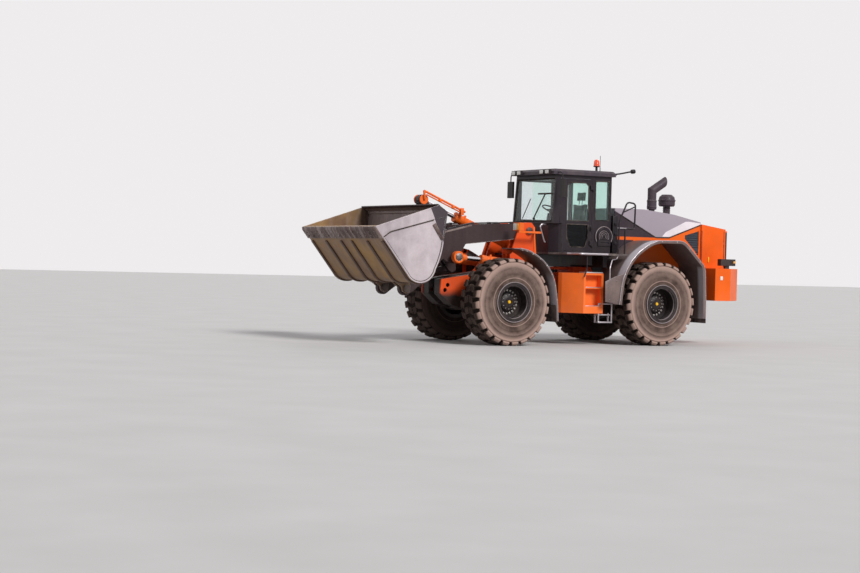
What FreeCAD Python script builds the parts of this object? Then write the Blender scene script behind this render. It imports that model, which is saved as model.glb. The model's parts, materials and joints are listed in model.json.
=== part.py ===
import FreeCAD, Part
import math
import os

# Wheel loader, hinged in the middle, with a bucket on a lifting boom.
# Millimetres. +X forward, +Y left, +Z up, the ground at Z = 0.
# Shapes are drawn with X = 0 on the steering hinge. save() moves them by SHIFT_X, so that
# the part's own zero lies on the ground under the middle of the whole machine.
V = FreeCAD.Vector
OUT = os.path.join(os.getcwd(), "parts")
os.makedirs(OUT, exist_ok=True)

# Driving sizes
WHEELBASE = 3550.0
TRACK = 2230.0
TYRE_R, TYRE_W = 847.0, 675.0           # out to the lugs' tips, and wide
HUB_X, HUB_Z = WHEELBASE / 2, TYRE_R
TYRE_Y0, TYRE_Y1 = TRACK / 2 - TYRE_W / 2, TRACK / 2 + TYRE_W / 2
RIM_R = 335.0                           # the tyre's seat on the rim
LUG_N, LUG_H, LUG_W = 24, 36.0, 145.0   # lugs in a row, their height and width
SHOULDER_Y = TYRE_W / 2 - 105           # where the tread turns down to the side
FIT = 0.3                               # running clearance round a pin
AIR = 12.0                              # side clearance between moving plates
LIP_X, LIP_Z = 4900.0, 2210.0           # bucket's cutting edge, bucket rolled back
REAR_X = -4180.0
BUCKET_W = 3100.0
SHIFT_X = -(LIP_X + REAR_X) / 2

# Pins of the lifting gear, as (x, z)
BOOM_A = (900.0, 2250.0)                # boom on the front frame
PIN_B = (3650.0, 1060.0)                # bucket on the boom
PIN_C = (2760.0, 2080.0)                # bell crank on the boom
PIN_D = (2380.0, 1480.0)                # bell crank's lower end
PIN_U = (3367.0, 1343.0)                # link on the bucket
PIN_T = (3080.0, 2800.0)                # bell crank's upper end
TILT_0 = (1000.0, 1950.0)               # tilt cylinder on the front frame
LIFT_0 = (750.0, 1560.0)                # lift cylinder on the front frame
LIFT_1 = (2590.0, 1690.0)               # lift cylinder under the boom
R_BOOM, R_BUCKET, R_CRANK, R_LINK = 60.0, 55.0, 55.0, 50.0
R_LIFT, R_TILT, R_STEER = 50.0, 45.0, 28.0

# Lateral places of the plates, one side, from the tyre inwards
LIFT_R, LIFT_TYRE = 82.0, 55.5          # lift barrel, and its room to the tyre
TOWER_T, ARM_T, TOWER_GAP = 35.0, 80.0, 25.0
LIFT_Y = TYRE_Y0 - LIFT_TYRE - LIFT_R   # lift cylinder's middle
OUT_1 = LIFT_Y - LIFT_R - 18            # outer tower plate
OUT_0 = OUT_1 - TOWER_T
ARM_1 = OUT_0 - TOWER_GAP               # boom arm
ARM_0 = ARM_1 - ARM_T
IN_1 = ARM_0 - TOWER_GAP                # inner tower plate, and the frame's side
IN_0 = IN_1 - TOWER_T
CRANK_0, CRANK_1 = 60.0, 90.0           # bell crank's two plates
BRACKET_0, BRACKET_1 = 105.0, 145.0     # boom's brackets beside the bell crank
LINK_H = 48.0                           # half of the link's thickness

# Frames
FRAME_Z0, FRAME_Z1 = 600.0, 1560.0
SADDLE_Z = HUB_Z + 170.0                # underside of the axle pads
PAD_T = 28.0
RAIL_0, RAIL_1 = IN_0 - 30, IN_0 + 10   # rear rails
RAIL_TOP = 1250.0
HITCH_R, HITCH_PIN = 145.0, 70.0
HITCH = ((1440.0, 1490.0), (640.0, 700.0))      # the front frame's two hinge plates, z0 and z1
HITCH_GAP, HITCH_T = 10.0, 50.0
STEER_0, STEER_1, STEER_Z = (-700.0, RAIL_1 + 120), (230.0, IN_0 - 10), 1015.0
SHAFT_Z, SHAFT_R = 887.0, 40.0
NOSE_R = 95.0                           # axle case round the shaft's end

# Cab and platform
DECK_X, DECK_Y, DECK_Z0, DECK_Z1 = -HUB_X + 785, 1300.0, 1800.0, 1840.0
CAB_Y, CAB_T = 740.0, 45.0
CAB_REAR, CAB_FRONT = -950.0, 420.0
SILL_Z, HEAD_Z, ROOF_Z, ROOF_T = 2450.0, 3330.0, 3400.0, 110.0
DOOR_X0, DOOR_X1, DOOR_T = -480.0, 300.0, 40.0
GLASS_T = 8.0

# Engine bay and tail
TAIL_X, TAIL_Y = REAR_X + 200, 680.0
HOOD_Y, HOOD_T, HOOD_Z0 = 640.0, 30.0, 1600.0
HOOD_X0, HOOD_X1 = TAIL_X + 640, -1120.0
HOOD_TOP = [(HOOD_X1, 2780.0), (HOOD_X0 + 1480, 2780.0), (HOOD_X0 + 710, 2700.0), (HOOD_X0, 2560.0)]
TAIL_Z0, TAIL_Z1 = HOOD_TOP[3][1] - 40, HOOD_TOP[3][1] - 130       # tail's top edge, front and rear
CW_X, CW_Y, CW_Z0, CW_Z1 = REAR_X + 980, 1350.0, 930.0, HOOD_Z0
RAIL_END = CW_X - 100
FENDER_Y1, FENDER_T = TYRE_Y1 + 27.5, 16.0


# Small helpers
def box(x0, x1, y0, y1, z0, z1):
    return Part.makeBox(x1 - x0, y1 - y0, z1 - z0, V(x0, y0, z0))


def side(pts, y0, y1):
    """Side outline (x, z) made into a plate from y0 to y1."""
    v = [V(x, y0, z) for x, z in pts]
    return Part.Face(Part.makePolygon(v + [v[0]])).extrude(V(0, y1 - y0, 0))


def plan(pts, z0, z1):
    """Plan outline (x, y) made into a plate from z0 to z1."""
    v = [V(x, y, z0) for x, y in pts]
    return Part.Face(Part.makePolygon(v + [v[0]])).extrude(V(0, 0, z1 - z0))


def ycyl(p, r, y0, y1):
    """Cylinder along Y at side position p = (x, z)."""
    return Part.makeCylinder(r, y1 - y0, V(p[0], y0, p[1]), V(0, 1, 0))


def zcyl(x, y, r, z0, z1):
    return Part.makeCylinder(r, z1 - z0, V(x, y, z0), V(0, 0, 1))


def bar(p, q, r):
    p, q = V(*p), V(*q)
    return Part.makeCylinder(r, (q - p).Length, p, q - p)


def fuse(*s):
    out = s[0].multiFuse(list(s[1:])) if len(s) > 1 else s[0]
    return out.removeSplitter()


def mirror(s):
    return s.mirror(V(0, 0, 0), V(0, 1, 0))


def pair(s):
    return [s, mirror(s)]


def turned(pts, c, axis):
    """Turns an outline of (place along the axis, radius) about the axis through c."""
    a = V(*axis)
    up = V(0, 0, 1) if abs(a.z) < 0.5 else V(1, 0, 0)
    v = [V(*c) + a * t + up * r for t, r in pts]
    return Part.Face(Part.makePolygon(v + [v[0]])).revolve(V(*c), a, 360)


def pipe(pts, r, bend=60.0):
    """Round bar along corner points, with bent corners."""
    pts = [V(*p) for p in pts]
    edges = []
    last = pts[0]
    for a, b, c in zip(pts, pts[1:], pts[2:]):
        u, w = a - b, c - b
        k = min(bend, u.Length * 0.45, w.Length * 0.45)
        u.normalize()
        w.normalize()
        half = u.getAngle(w) / 2
        arc_r = k * math.tan(half)
        d = u + w
        d.normalize()
        start, end = b + u * k, b + w * k
        mid = b + d * (arc_r / math.sin(half) - arc_r)
        edges.append(Part.LineSegment(last, start).toShape())
        edges.append(Part.Arc(start, mid, end).toShape())
        last = end
    edges.append(Part.LineSegment(last, pts[-1]).toShape())
    ring = Part.Wire([Part.makeCircle(r, pts[0], pts[1] - pts[0])])
    return Part.Wire(edges).makePipeShell([ring], True, True)


def sheet(pts, t, y0, y1):
    """Bent sheet under the outline points, t thick."""
    low = []
    for i, (x, z) in enumerate(pts):
        a, b = pts[max(i - 1, 0)], pts[min(i + 1, len(pts) - 1)]
        dx, dz = b[0] - a[0], b[1] - a[1]
        n = math.hypot(dx, dz)
        low.append((x + dz / n * t, z - dx / n * t))
    return side(pts + low[::-1], y0, y1)


def dist(p, q):
    return math.hypot(q[0] - p[0], q[1] - p[1])


def toward(p, q, t):
    n = dist(p, q)
    return (p[0] + (q[0] - p[0]) * t / n, p[1] + (q[1] - p[1]) * t / n)


def slant(p, q, t0, t1, r, y):
    """Cylinder on the line from p to q in the side view, from t0 to t1 along it."""
    a, b = toward(p, q, t0), toward(p, q, t1)
    return bar((a[0], y, a[1]), (b[0], y, b[1]), r)


def flat_slant(p, q, t0, t1, r):
    """Cylinder on the line from p to q in plan, at the steering cylinders' height."""
    a, b = toward(p, q, t0), toward(p, q, t1)
    return bar((a[0], a[1], STEER_Z), (b[0], b[1], STEER_Z), r)


def save(name, *shapes):
    s = shapes[0] if len(shapes) == 1 else Part.makeCompound(list(shapes))
    s = s.copy()
    s.translate(V(SHIFT_X, 0, 0))
    if s.ShapeType == "Compound" and len(s.Solids) == 1:
        s = s.Solids[0]
    b = s.BoundBox
    print("%-20s %s solids %d volume %.4f m3 x %.0f %.0f y %.0f %.0f z %.0f %.0f" % (
        name, "ok" if s.isValid() else "BAD", len(s.Solids), s.Volume / 1e9,
        b.XMin, b.XMax, b.YMin, b.YMax, b.ZMin, b.ZMax))
    s.exportStep(os.path.join(OUT, name + ".step"))


# Wheels
WHEELS = (("front_left", HUB_X, 1), ("front_right", HUB_X, -1),
          ("rear_left", -HUB_X, 1), ("rear_right", -HUB_X, -1))
SPINDLE_R, SPINDLE_Y = 140.0, TRACK / 2 + 120


def lug(y0, y1, turn):
    """Tread lug between y0 and y1 from the tyre's middle, turned about the wheel's middle."""
    top = math.sqrt(TYRE_R ** 2 - (LUG_W / 2) ** 2)
    low = TYRE_R - LUG_H - 22
    line = [(y0, low), (y0, top), (min(y1, SHOULDER_Y), top)]
    if y1 > SHOULDER_Y:
        line += [(y1 - 36, top - 55), (y1 - 8, 735), (y1 - 34, 722), (SHOULDER_Y - 20, low)]
    else:
        line.append((y1, low))
    v = [V(-LUG_W / 2, y, z) for y, z in line]
    s = Part.Face(Part.makePolygon(v + [v[0]])).extrude(V(LUG_W, 0, 0))
    s.rotate(V(0, 0, 0), V(0, 1, 0), turn)
    return s


def tyre():
    """Tyre round the origin: two rows of lugs on each side, each row half a step from the next."""
    w = TYRE_W / 2
    half = [(w - 60, RIM_R), (w - 20, 400), (w, 560), (w - 12, 690), (w - 50, 765),
            (SHOULDER_Y, TYRE_R - LUG_H - 8), (150, TYRE_R - LUG_H)]
    bore = [(w - 90, RIM_R), (w - 90, 420), (w - 60, 560), (w - 85, 690), (w - 150, 740)]
    outer = [(-t, r) for t, r in half] + half[::-1]
    inner = bore + [(-t, r) for t, r in bore[::-1]]
    step = 360.0 / LUG_N
    first = math.degrees(math.asin(LUG_W / 2 / TYRE_R))
    lugs = []
    for i in range(LUG_N):
        for y0, y1, shift in ((14, 138, 0.5), (160, w, 0)):
            one = lug(y0, y1, first + (i + shift) * step)
            lugs += [one, mirror(one)]
    return fuse(turned(outer + inner, (0, 0, 0), (0, 1, 0)), *lugs)


def rim(x, s):
    w = TYRE_W / 2
    c = (x, s * TRACK / 2, HUB_Z)
    base = turned([(-w + 30, RIM_R), (-w + 22, 384), (-w + 5, 392), (-w - 4, 380), (-w - 4, 318),
                   (w + 4, 318), (w + 4, 380), (w - 5, 392), (w - 22, 384), (w - 30, RIM_R)],
                  c, (0, 1, 0))
    run = SPINDLE_R + FIT
    y0, y1, y2 = 20.0, 60.0, SPINDLE_Y - TRACK / 2 + 5
    dish = turned([(s * y0, run), (s * y1, run), (s * y1, 322), (s * y0, 322)], c, (0, 1, 0))
    cap = turned([(s * y1, 185), (s * y2, 170), (s * (y2 + 25), 95), (s * (y2 + 25), 0),
                  (s * y2, 0), (s * y2, run), (s * y1, run)], c, (0, 1, 0))
    return fuse(base, dish, cap)


def axle(x, inward):
    """Axle beam with its round middle case, pads, end cases and wheel spindles."""
    case_y = TYRE_Y0 - 17.5
    s = [ycyl((x, HUB_Z), 130, -case_y + 60, case_y - 60)]
    s += pair(ycyl((x, HUB_Z), 215, case_y - 160, case_y))
    s += pair(ycyl((x, HUB_Z), SPINDLE_R, case_y - 10, SPINDLE_Y))
    ball = Part.makeSphere(270, V(x, 0, HUB_Z))
    s.append(ball.common(box(x - 270, x + 270, -230, 230, HUB_Z - 260, SADDLE_Z - 8)))
    s.append(bar((x, 0, SHAFT_Z), (x + inward * 330, 0, SHAFT_Z), NOSE_R))
    s += pair(box(x - 170, x + 170, IN_1, IN_1 + 120, HUB_Z - 60, SADDLE_Z))
    return fuse(*s)


# Front frame with towers for the boom
NOSE_X0, NOSE_X1 = HUB_X + 965, HUB_X + 1015
CROSS_X = 350.0                         # the front frame's rear plate
ARCH_X = 275.0                          # half of the frames' opening over an axle
SLOT_Y = 115.0                          # room for the bell crank between the nose boxes


def tower_line(rear_low):
    """Outline shared by the inner and outer tower plates above their feet."""
    x, z = BOOM_A
    return rear_low + [(x - 140, z + 80), (x - 70, z + 165), (x + 80, z + 165), (x + 230, z + 50),
                       (x + 430, z - 500)]


def front_frame():
    """Middle of the front frame: hinge plates, cross plates, axle seat and nose."""
    h, back, fore, knee = HUB_X, HUB_X - ARCH_X, HUB_X + ARCH_X, HUB_X + 785
    s = [box(back, h + 200, -IN_0, IN_0, SADDLE_Z, SADDLE_Z + PAD_T)]
    s += pair(box(h + 195, fore, SLOT_Y, IN_0, SADDLE_Z, SADDLE_Z + PAD_T))
    s.append(box(CROSS_X, CROSS_X + 45, -IN_0, IN_0, 620, FRAME_Z1 - 5))
    s.append(box(back, back + 40, -IN_0, IN_0, SADDLE_Z, 1400))
    s.append(box(fore + 20, fore + 60, -IN_0, IN_0, 650, SADDLE_Z - 90))
    s.append(side([(fore + 20, 640), (fore + 100, 640), (fore + 250, 684), (fore + 250, 720),
                   (fore + 90, 675), (fore + 20, 675)], -IN_0, IN_0))
    s += pair(side([(fore + 250, 684), (knee, 760), (NOSE_X1, 960), (NOSE_X1 - 25, 985),
                    (knee - 20, 795), (fore + 250, 720)], SLOT_Y, IN_0))
    s += pair(side([(h - 125, 1385), (h - 125, 1420), (knee, 1290), (NOSE_X1, 1250),
                    (NOSE_X1, 1215), (knee - 10, 1255)], SLOT_Y, IN_0))
    s += pair(side([(h - 125, 1420), (knee, 1290), (NOSE_X1, 1250), (NOSE_X1, 962), (knee, 775),
                    (fore + 250, 710), (fore - 10, 1100), (h - 125, 1200)], SLOT_Y, SLOT_Y + 25))
    s += pair(box(NOSE_X0, NOSE_X1, SLOT_Y, IN_0, 970, 1250))
    s.append(box(back, h - 100, -IN_0, IN_0, 1385, 1415))
    for z0, z1 in HITCH:
        s.append(box(0, CROSS_X + 10, -200, 200, z0, z1))
        s.append(zcyl(0, 0, HITCH_R, z0, z1))
    x, y = STEER_1
    for z0 in (STEER_Z - 80, STEER_Z + 54):
        s += pair(plan([(CROSS_X + 5, y - 110), (x - 30, y - 55), (x - 48, y), (x - 25, y + 48),
                        (x + 30, y + 48), (CROSS_X - 0.1, y + 10)], z0, z0 + 26))
    f = fuse(*s)
    for z0, z1 in HITCH:
        f = f.cut(zcyl(0, 0, HITCH_PIN + FIT, z0 - 5, z1 + 5))
    f = f.cut(bar((CROSS_X - 5, 0, SHAFT_Z), (CROSS_X + 60, 0, SHAFT_Z), SHAFT_R + FIT))
    for hole in (EYE_LOW, EYE_HIGH):
        f = f.cut(ycyl(hole, EYE_R, -IN_0 - 5, IN_0 + 5))
    return f


def tower():
    """Left side plate of the front frame, up to the boom's pin, with its axle pad."""
    h, back, fore, knee = HUB_X, HUB_X - ARCH_X, HUB_X + ARCH_X, HUB_X + 785
    line = tower_line([(CROSS_X, FRAME_Z0), (CROSS_X, FRAME_Z1), (700, 1760)])
    line += [(h - 125, 1420), (knee, 1290), (NOSE_X1, 1250), (NOSE_X1 + 20, 980), (knee, 760),
             (fore + 100, 640), (fore, 640), (fore, SADDLE_Z), (back, SADDLE_Z), (back, FRAME_Z0)]
    s = [side(line, IN_0, IN_1), ycyl(BOOM_A, R_BOOM, IN_0 - 15, IN_1)]
    s.append(box(h - 190, h + 190, IN_1, IN_1 + 120, SADDLE_Z, SADDLE_Z + PAD_T))
    f = fuse(*s)
    for hole in (EYE_LOW, EYE_HIGH):
        f = f.cut(ycyl(hole, EYE_R, IN_0 - 5, IN_1 + 5))
    return f


def tower_cheek():
    """Outer plate of the left tower, its ties to the inner one and the pins it carries."""
    line = tower_line([(625, 1465), (700, 1760)]) + [(1300, 1465)]
    s = [side(line, OUT_0, OUT_1)]
    for x, z0, z1 in ((640, 1480, 1600), (1290, 1560, 1700)):
        s.append(box(x, x + 40, IN_1, OUT_0, z0, z1))
    s.append(ycyl(BOOM_A, R_BOOM, IN_1, OUT_1 + 25))
    s.append(ycyl(LIFT_0, R_LIFT, OUT_0, LIFT_Y + 75))
    return fuse(*s)


def tilt_seat():
    """Box between the towers that carries the tilt cylinder's rear pin."""
    x, z = TILT_0
    s = [box(700, 740, -IN_0, IN_0, 1480, 1790), box(700, 1130, -IN_0, IN_0, 1760, 1800)]
    s += pair(side([(x - 130, 1790), (x + 120, 1790), (x + 80, z + 30), (x + 30, z + 75),
                    (x - 30, z + 75), (x - 80, z + 30)], 108, 143))
    return fuse(*s).cut(ycyl(TILT_0, R_TILT + FIT, -150, 150))


EYE_R = 42.0                            # lifting eyes in the nose
EYE_LOW, EYE_HIGH = (HUB_X + 925, 1040.0), (HUB_X + 865, 1140.0)


def front_fender():
    """Left fender over the front wheel, with its two arms to the front frame."""
    h = HUB_X
    top = [(h - 1005, 490), (h - 990, 800), (h - 900, 1350), (h - 645, 1680), (h - 295, 1860),
           (h + 5, 1905), (h + 305, 1880), (h + 465, 1830)]
    y0, arm_y = TYRE_Y0 + 22.5, TYRE_Y0 - 15.5
    s = [sheet(top, FENDER_T, y0, FENDER_Y1), sheet(top, 60, FENDER_Y1 - 16, FENDER_Y1)]
    s.append(box(h - 975, h - 890, IN_1, FENDER_Y1 - 100, 1260, 1320))
    s.append(box(h + 285, h + 365, IN_1, arm_y, 1120, 1170))
    s.append(box(h + 285, h + 365, arm_y - 24, arm_y, 1120, 1860))
    s.append(box(h + 285, h + 365, arm_y - 24, y0 + 30, 1820, 1860))
    return fuse(*s)


def head_lamp():
    """Left lamp on its arm beside the tower."""
    arm = fuse(box(770, 825, OUT_1, 800, 2200, 2240), box(770, 1330, 760, 800, 2200, 2240))
    lamp = box(1290, 1400, 745, 965, 2240, 2400)
    return fuse(arm, lamp)


# Boom
TUBE = (2150.0, 2170.0)                 # cross tube between the arms


def boom():
    bx, bz = PIN_B
    arm = [(780, 2350), (900, 2420), (1170, 2390), (2210, 2345), (2820, 2200), (3250, 1720),
           (bx - 20, bz + 133), (bx - 60, bz - 120), (3200, 1220), (2830, 1660), (2740, 1600),
           (2590, 1565), (2470, 1610), (2440, 1760), (2320, 1950), (1120, 2085), (900, 2090),
           (780, 2160)]
    s = pair(fuse(side(arm, ARM_0, ARM_1), ycyl(PIN_B, 135, ARM_0, ARM_1)))
    s.append(ycyl(TUBE, 110, -ARM_0, ARM_0))
    cx, cz = PIN_C
    tx, tz = TUBE
    s += pair(side([(tx, tz + 100), (tx, tz - 100), (cx - 120, cz - 110), (cx, cz - 140),
                    (cx + 110, cz - 90), (cx + 140, cz), (cx + 100, cz + 100), (cx, cz + 135)],
                   BRACKET_0, BRACKET_1))
    b = fuse(*s)
    for p, r in ((BOOM_A, R_BOOM), (PIN_B, R_BUCKET)):
        b = b.cut(ycyl(p, r + FIT, -ARM_1 - 20, ARM_1 + 20))
    return b.cut(ycyl(PIN_C, R_CRANK + FIT, -200, 200))


def headed_pin(p, r, y0, y1):
    """Pin along Y with a collar at each end."""
    return fuse(ycyl(p, r, y0, y1), ycyl(p, r + 20, y0 - 15, y0), ycyl(p, r + 20, y1, y1 + 15))


def bell_crank():
    tx, tz = PIN_T
    dx, dz = PIN_D
    cx, cz = PIN_C
    line = [(tx - 80, tz + 50), (tx, tz + 95), (tx + 80, tz + 50), (tx + 75, tz - 50),
            (cx + 140, cz + 60), (cx + 90, cz - 90), (dx + 80, dz - 50), (dx, dz - 95),
            (dx - 80, dz - 50), (dx - 75, dz + 60), (cx - 110, cz + 20), (cx - 60, cz + 140)]
    s = pair(side(line, CRANK_0, CRANK_1))
    s.append(ycyl(PIN_C, 100, -CRANK_1, CRANK_1))
    s.append(box(cx - 20, cx + 120, -CRANK_0, CRANK_0, cz + 190, cz + 240))
    return fuse(*s).cut(ycyl(PIN_C, R_CRANK + FIT, -CRANK_1 - 5, CRANK_1 + 5))


def bucket_link():
    dx, dz = PIN_D
    ux, uz = PIN_U
    line = [(dx - 75, dz + 30), (dx, dz + 75), (dx + 80, dz + 40), (ux - 80, uz + 60),
            (ux, uz + 95), (ux + 80, uz + 50), (ux + 80, uz - 50), (ux, uz - 95),
            (ux - 80, uz - 60), (dx + 80, dz - 60), (dx, dz - 75), (dx - 75, dz - 30)]
    return side(line, -LINK_H, LINK_H).cut(ycyl(PIN_U, R_LINK + FIT, -LINK_H - 5, LINK_H + 5))


# Bucket, drawn rolled back
SHELL_T, SIDE_T = 38.0, 35.0
HEEL_0, HEEL_MID, HEEL_1 = (4150.0, 1270.0), (3860.0, 1190.0), (3600.0, 1450.0)
BACK_MID, BACK_1, BACK_TOP = (3490.0, 1730.0), (3440.0, 2020.0), (3370.0, 2530.0)
SPILL = (3560.0, 2650.0)
LEDGE = [(LIP_X + 50, 1900.0), (LIP_X - 168, 2024.0), (LIP_X - 308, 2127.0), (3671.0, 2377.0),
         (3300.0, 2455.0)]              # upper part of the side plates stands proud above this line
RECESS, RIM_W = 12.0, 26.0


def bucket_outline():
    p = [V(x, 0, z) for x, z in ((LIP_X, LIP_Z), HEEL_0, HEEL_1, BACK_1, BACK_TOP, SPILL)]
    e = [Part.LineSegment(p[0], p[1]).toShape(),
         Part.Arc(p[1], V(HEEL_MID[0], 0, HEEL_MID[1]), p[2]).toShape(),
         Part.Arc(p[2], V(BACK_MID[0], 0, BACK_MID[1]), p[3]).toShape(),
         Part.LineSegment(p[3], p[4]).toShape(),
         Part.LineSegment(p[4], p[5]).toShape(),
         Part.LineSegment(p[5], p[0]).toShape()]
    return Part.Face(Part.Wire(e))


def bucket():
    w = BUCKET_W / 2
    face = bucket_outline()
    outer = face.extrude(V(0, BUCKET_W, 0))
    outer.translate(V(0, -w, 0))
    hollow = face.makeOffset2D(-SHELL_T).extrude(V(0, BUCKET_W - 2 * SIDE_T, 0))
    hollow.translate(V(0, -w + SIDE_T, 0))
    out = V(LIP_Z - SPILL[1], 0, SPILL[0] - LIP_X) * -1
    out.normalize()
    over = hollow.copy()
    over.translate(out * (SHELL_T + 20))
    bx, bz = PIN_B
    ux, uz = PIN_U
    ear = [(bx - 90, bz + 30), (bx - 70, bz - 70), (bx, bz - 100), (bx + 80, bz - 60),
           (bx + 110, bz + 30), (HEEL_MID[0] + 60, HEEL_MID[1] + 15), (HEEL_1[0] + 30, HEEL_1[1])]
    s = [outer.cut(hollow).cut(over)]
    s += pair(side(ear, ARM_0 - AIR - 40, ARM_0 - AIR))
    s += pair(side(ear, ARM_1 + AIR, ARM_1 + AIR + 40))
    ear2 = [(ux - 75, uz + 30), (ux - 60, uz - 60), (ux, uz - 85), (ux + 80, uz - 60),
            (HEEL_1[0] + 70, HEEL_1[1] - 90), (BACK_MID[0] + 40, BACK_MID[1] + 60),
            (ux + 20, uz + 200)]
    s += pair(side(ear2, LINK_H + AIR, LINK_H + AIR + 35))
    b = fuse(*s).cut(hollow)
    below = side(LEDGE + [(HEEL_1[0] - 400, HEEL_1[1] - 500), (LIP_X + 100, HEEL_1[1] - 500)],
                 w - RECESS, w + 5)
    field = face.makeOffset2D(-RIM_W).extrude(V(0, RECESS + 5, 0))
    field.translate(V(0, w - RECESS, 0))
    for recess in pair(field.common(below)):
        b = b.cut(recess)
    b = b.cut(ycyl(PIN_B, R_BUCKET + FIT, -ARM_1 - AIR - 60, ARM_1 + AIR + 60))
    return b.cut(ycyl(PIN_U, R_LINK + FIT, -120, 120))


def lip_frame(u, n):
    """Point u along the bucket's floor from its lip, n out of the floor."""
    fx, fz = HEEL_0[0] - LIP_X, HEEL_0[1] - LIP_Z
    k = math.hypot(fx, fz)
    fx, fz = fx / k, fz / k
    return (LIP_X + fx * u - fz * n, LIP_Z + fz * u + fx * n)


def bucket_edge():
    """Bolted edge plate along the whole lip, under the floor."""
    pts = [lip_frame(0, 0), lip_frame(260, 0), lip_frame(260, 30), lip_frame(45, 30)]
    return side(pts, -BUCKET_W / 2, BUCKET_W / 2)


def wear_strips():
    pts = [lip_frame(330, 0), lip_frame(1150, 0), lip_frame(1150, 25), lip_frame(330, 25)]
    return [side(pts, y, y + 90) for y in (-1350, -700, 610, 1260)]


# Cylinders
def hydraulic(p, q, y, r_pin, r_body, r_rod, body_len, eye_w, eye_r, eye_h):
    """Barrel with its rear eye, and rod with its front eye, on the line from p to q."""
    full = dist(p, q)
    barrel = fuse(ycyl(p, r_pin + 42, y - eye_w / 2, y + eye_w / 2),
                  slant(p, q, r_pin + 8, body_len, r_body, y),
                  slant(p, q, body_len - 90, body_len + 30, r_body + 10, y))
    barrel = barrel.cut(ycyl(p, r_pin + FIT, y - eye_w, y + eye_w))
    barrel = barrel.cut(slant(p, q, 170, body_len + 60, r_rod + FIT, y))
    rod = fuse(slant(p, q, body_len - 330, full - eye_r / 2, r_rod, y),
               ycyl(q, eye_r, y - eye_h, y + eye_h))
    return barrel, rod


def steering_cylinder():
    full = dist(STEER_0, STEER_1)
    x, y = STEER_0
    barrel = fuse(zcyl(x, y, 55, STEER_Z - 35, STEER_Z + 35),
                  flat_slant(STEER_0, STEER_1, 40, 600, 46))
    barrel = barrel.cut(zcyl(x, y, R_STEER + FIT, STEER_Z - 60, STEER_Z + 60))
    barrel = barrel.cut(flat_slant(STEER_0, STEER_1, 90, 700, 25 + FIT))
    rod = fuse(flat_slant(STEER_0, STEER_1, 400, full - 30, 25),
               zcyl(STEER_1[0], STEER_1[1], 48, STEER_Z - 33, STEER_Z + 33))
    return barrel, rod


# Rear frame
BEAM_Y = 1000.0
TANK_Y0, TANK_Y1, TANK_Z0, TANK_Z1 = 600.0, 1250.0, 640.0, 1440.0
TANK_X0, TANK_X1 = -HUB_X + 1325, 330.0


def rail():
    """Left rail of the rear frame, with its axle pad and the steering cylinder's bracket and pin."""
    h = HUB_X
    line = [(-330, FRAME_Z0), (-330, FRAME_Z1), (-760, FRAME_Z1), (-900, RAIL_TOP),
            (RAIL_END, RAIL_TOP), (RAIL_END, 700), (-h - 325, 640), (-h - 305, SADDLE_Z),
            (-h + 295, SADDLE_Z), (-h + 315, FRAME_Z0)]
    x, y = STEER_0
    s = [side(line, RAIL_0, RAIL_1), zcyl(x, y, R_STEER, STEER_Z - 86, STEER_Z + 86)]
    s.append(box(-h - 190, -h + 190, RAIL_1, IN_1 + 120, SADDLE_Z, SADDLE_Z + PAD_T))
    for z0 in (STEER_Z - 80, STEER_Z + 54):
        s.append(plan([(x - 130, RAIL_1), (x + 90, RAIL_1), (x + 55, y + 20), (x, y + 60),
                       (x - 55, y + 20)], z0, z0 + 26))
    return fuse(*s).cut(box(-500, -320, RAIL_0 - 5, RAIL_1 + 5, STEER_Z - 56, STEER_Z + 56))


def rear_frame():
    """What joins the rear rails: hinge plates with their pins, cross plates and axle seat."""
    h = HUB_X
    s = [box(-380, -330, -RAIL_0, RAIL_0, FRAME_Z0, FRAME_Z1)]
    s.append(box(-760, -720, -RAIL_0, RAIL_0, 1180, FRAME_Z1))
    s.append(box(-h + 275, -h + 315, -RAIL_0, RAIL_0, 620, RAIL_TOP))
    s.append(box(-h - 365, -h - 325, -RAIL_0, RAIL_0, 650, RAIL_TOP))
    s.append(box(RAIL_END, RAIL_END + 40, -RAIL_0, RAIL_0, 700, RAIL_TOP))
    s.append(box(-h - 365, -h + 315, -RAIL_0, RAIL_0, SADDLE_Z, SADDLE_Z + PAD_T))
    s.append(box(-760, -330, -RAIL_0, RAIL_0, 1180, 1215))
    s.append(box(-h + 275, -725, -200, 200, 1180, 1215))
    s.append(box(RAIL_END, -h - 325, -200, 200, RAIL_TOP - 60, RAIL_TOP))
    for z0, z1 in HITCH:
        for a, b in ((z1 + HITCH_GAP, z1 + HITCH_GAP + HITCH_T),
                     (z0 - HITCH_GAP - HITCH_T, z0 - HITCH_GAP)):
            s.append(box(-360, 0, -170, 170, a, b))
            s.append(zcyl(0, 0, HITCH_R - 5, a, b))
        s.append(zcyl(0, 0, HITCH_PIN, z0 - HITCH_GAP - 20, z1 + HITCH_GAP + 20))
    f = fuse(*s)
    for sl in pair(box(-500, -320, RAIL_0 - 80, RAIL_0 + 10, STEER_Z - 56, STEER_Z + 56)):
        f = f.cut(sl)
    f = f.cut(bar((-390, 0, SHAFT_Z), (-320, 0, SHAFT_Z), SHAFT_R + FIT))
    return f.cut(bar((-h + 265, 0, SHAFT_Z), (-h + 325, 0, SHAFT_Z), NOSE_R + 5))


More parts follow.
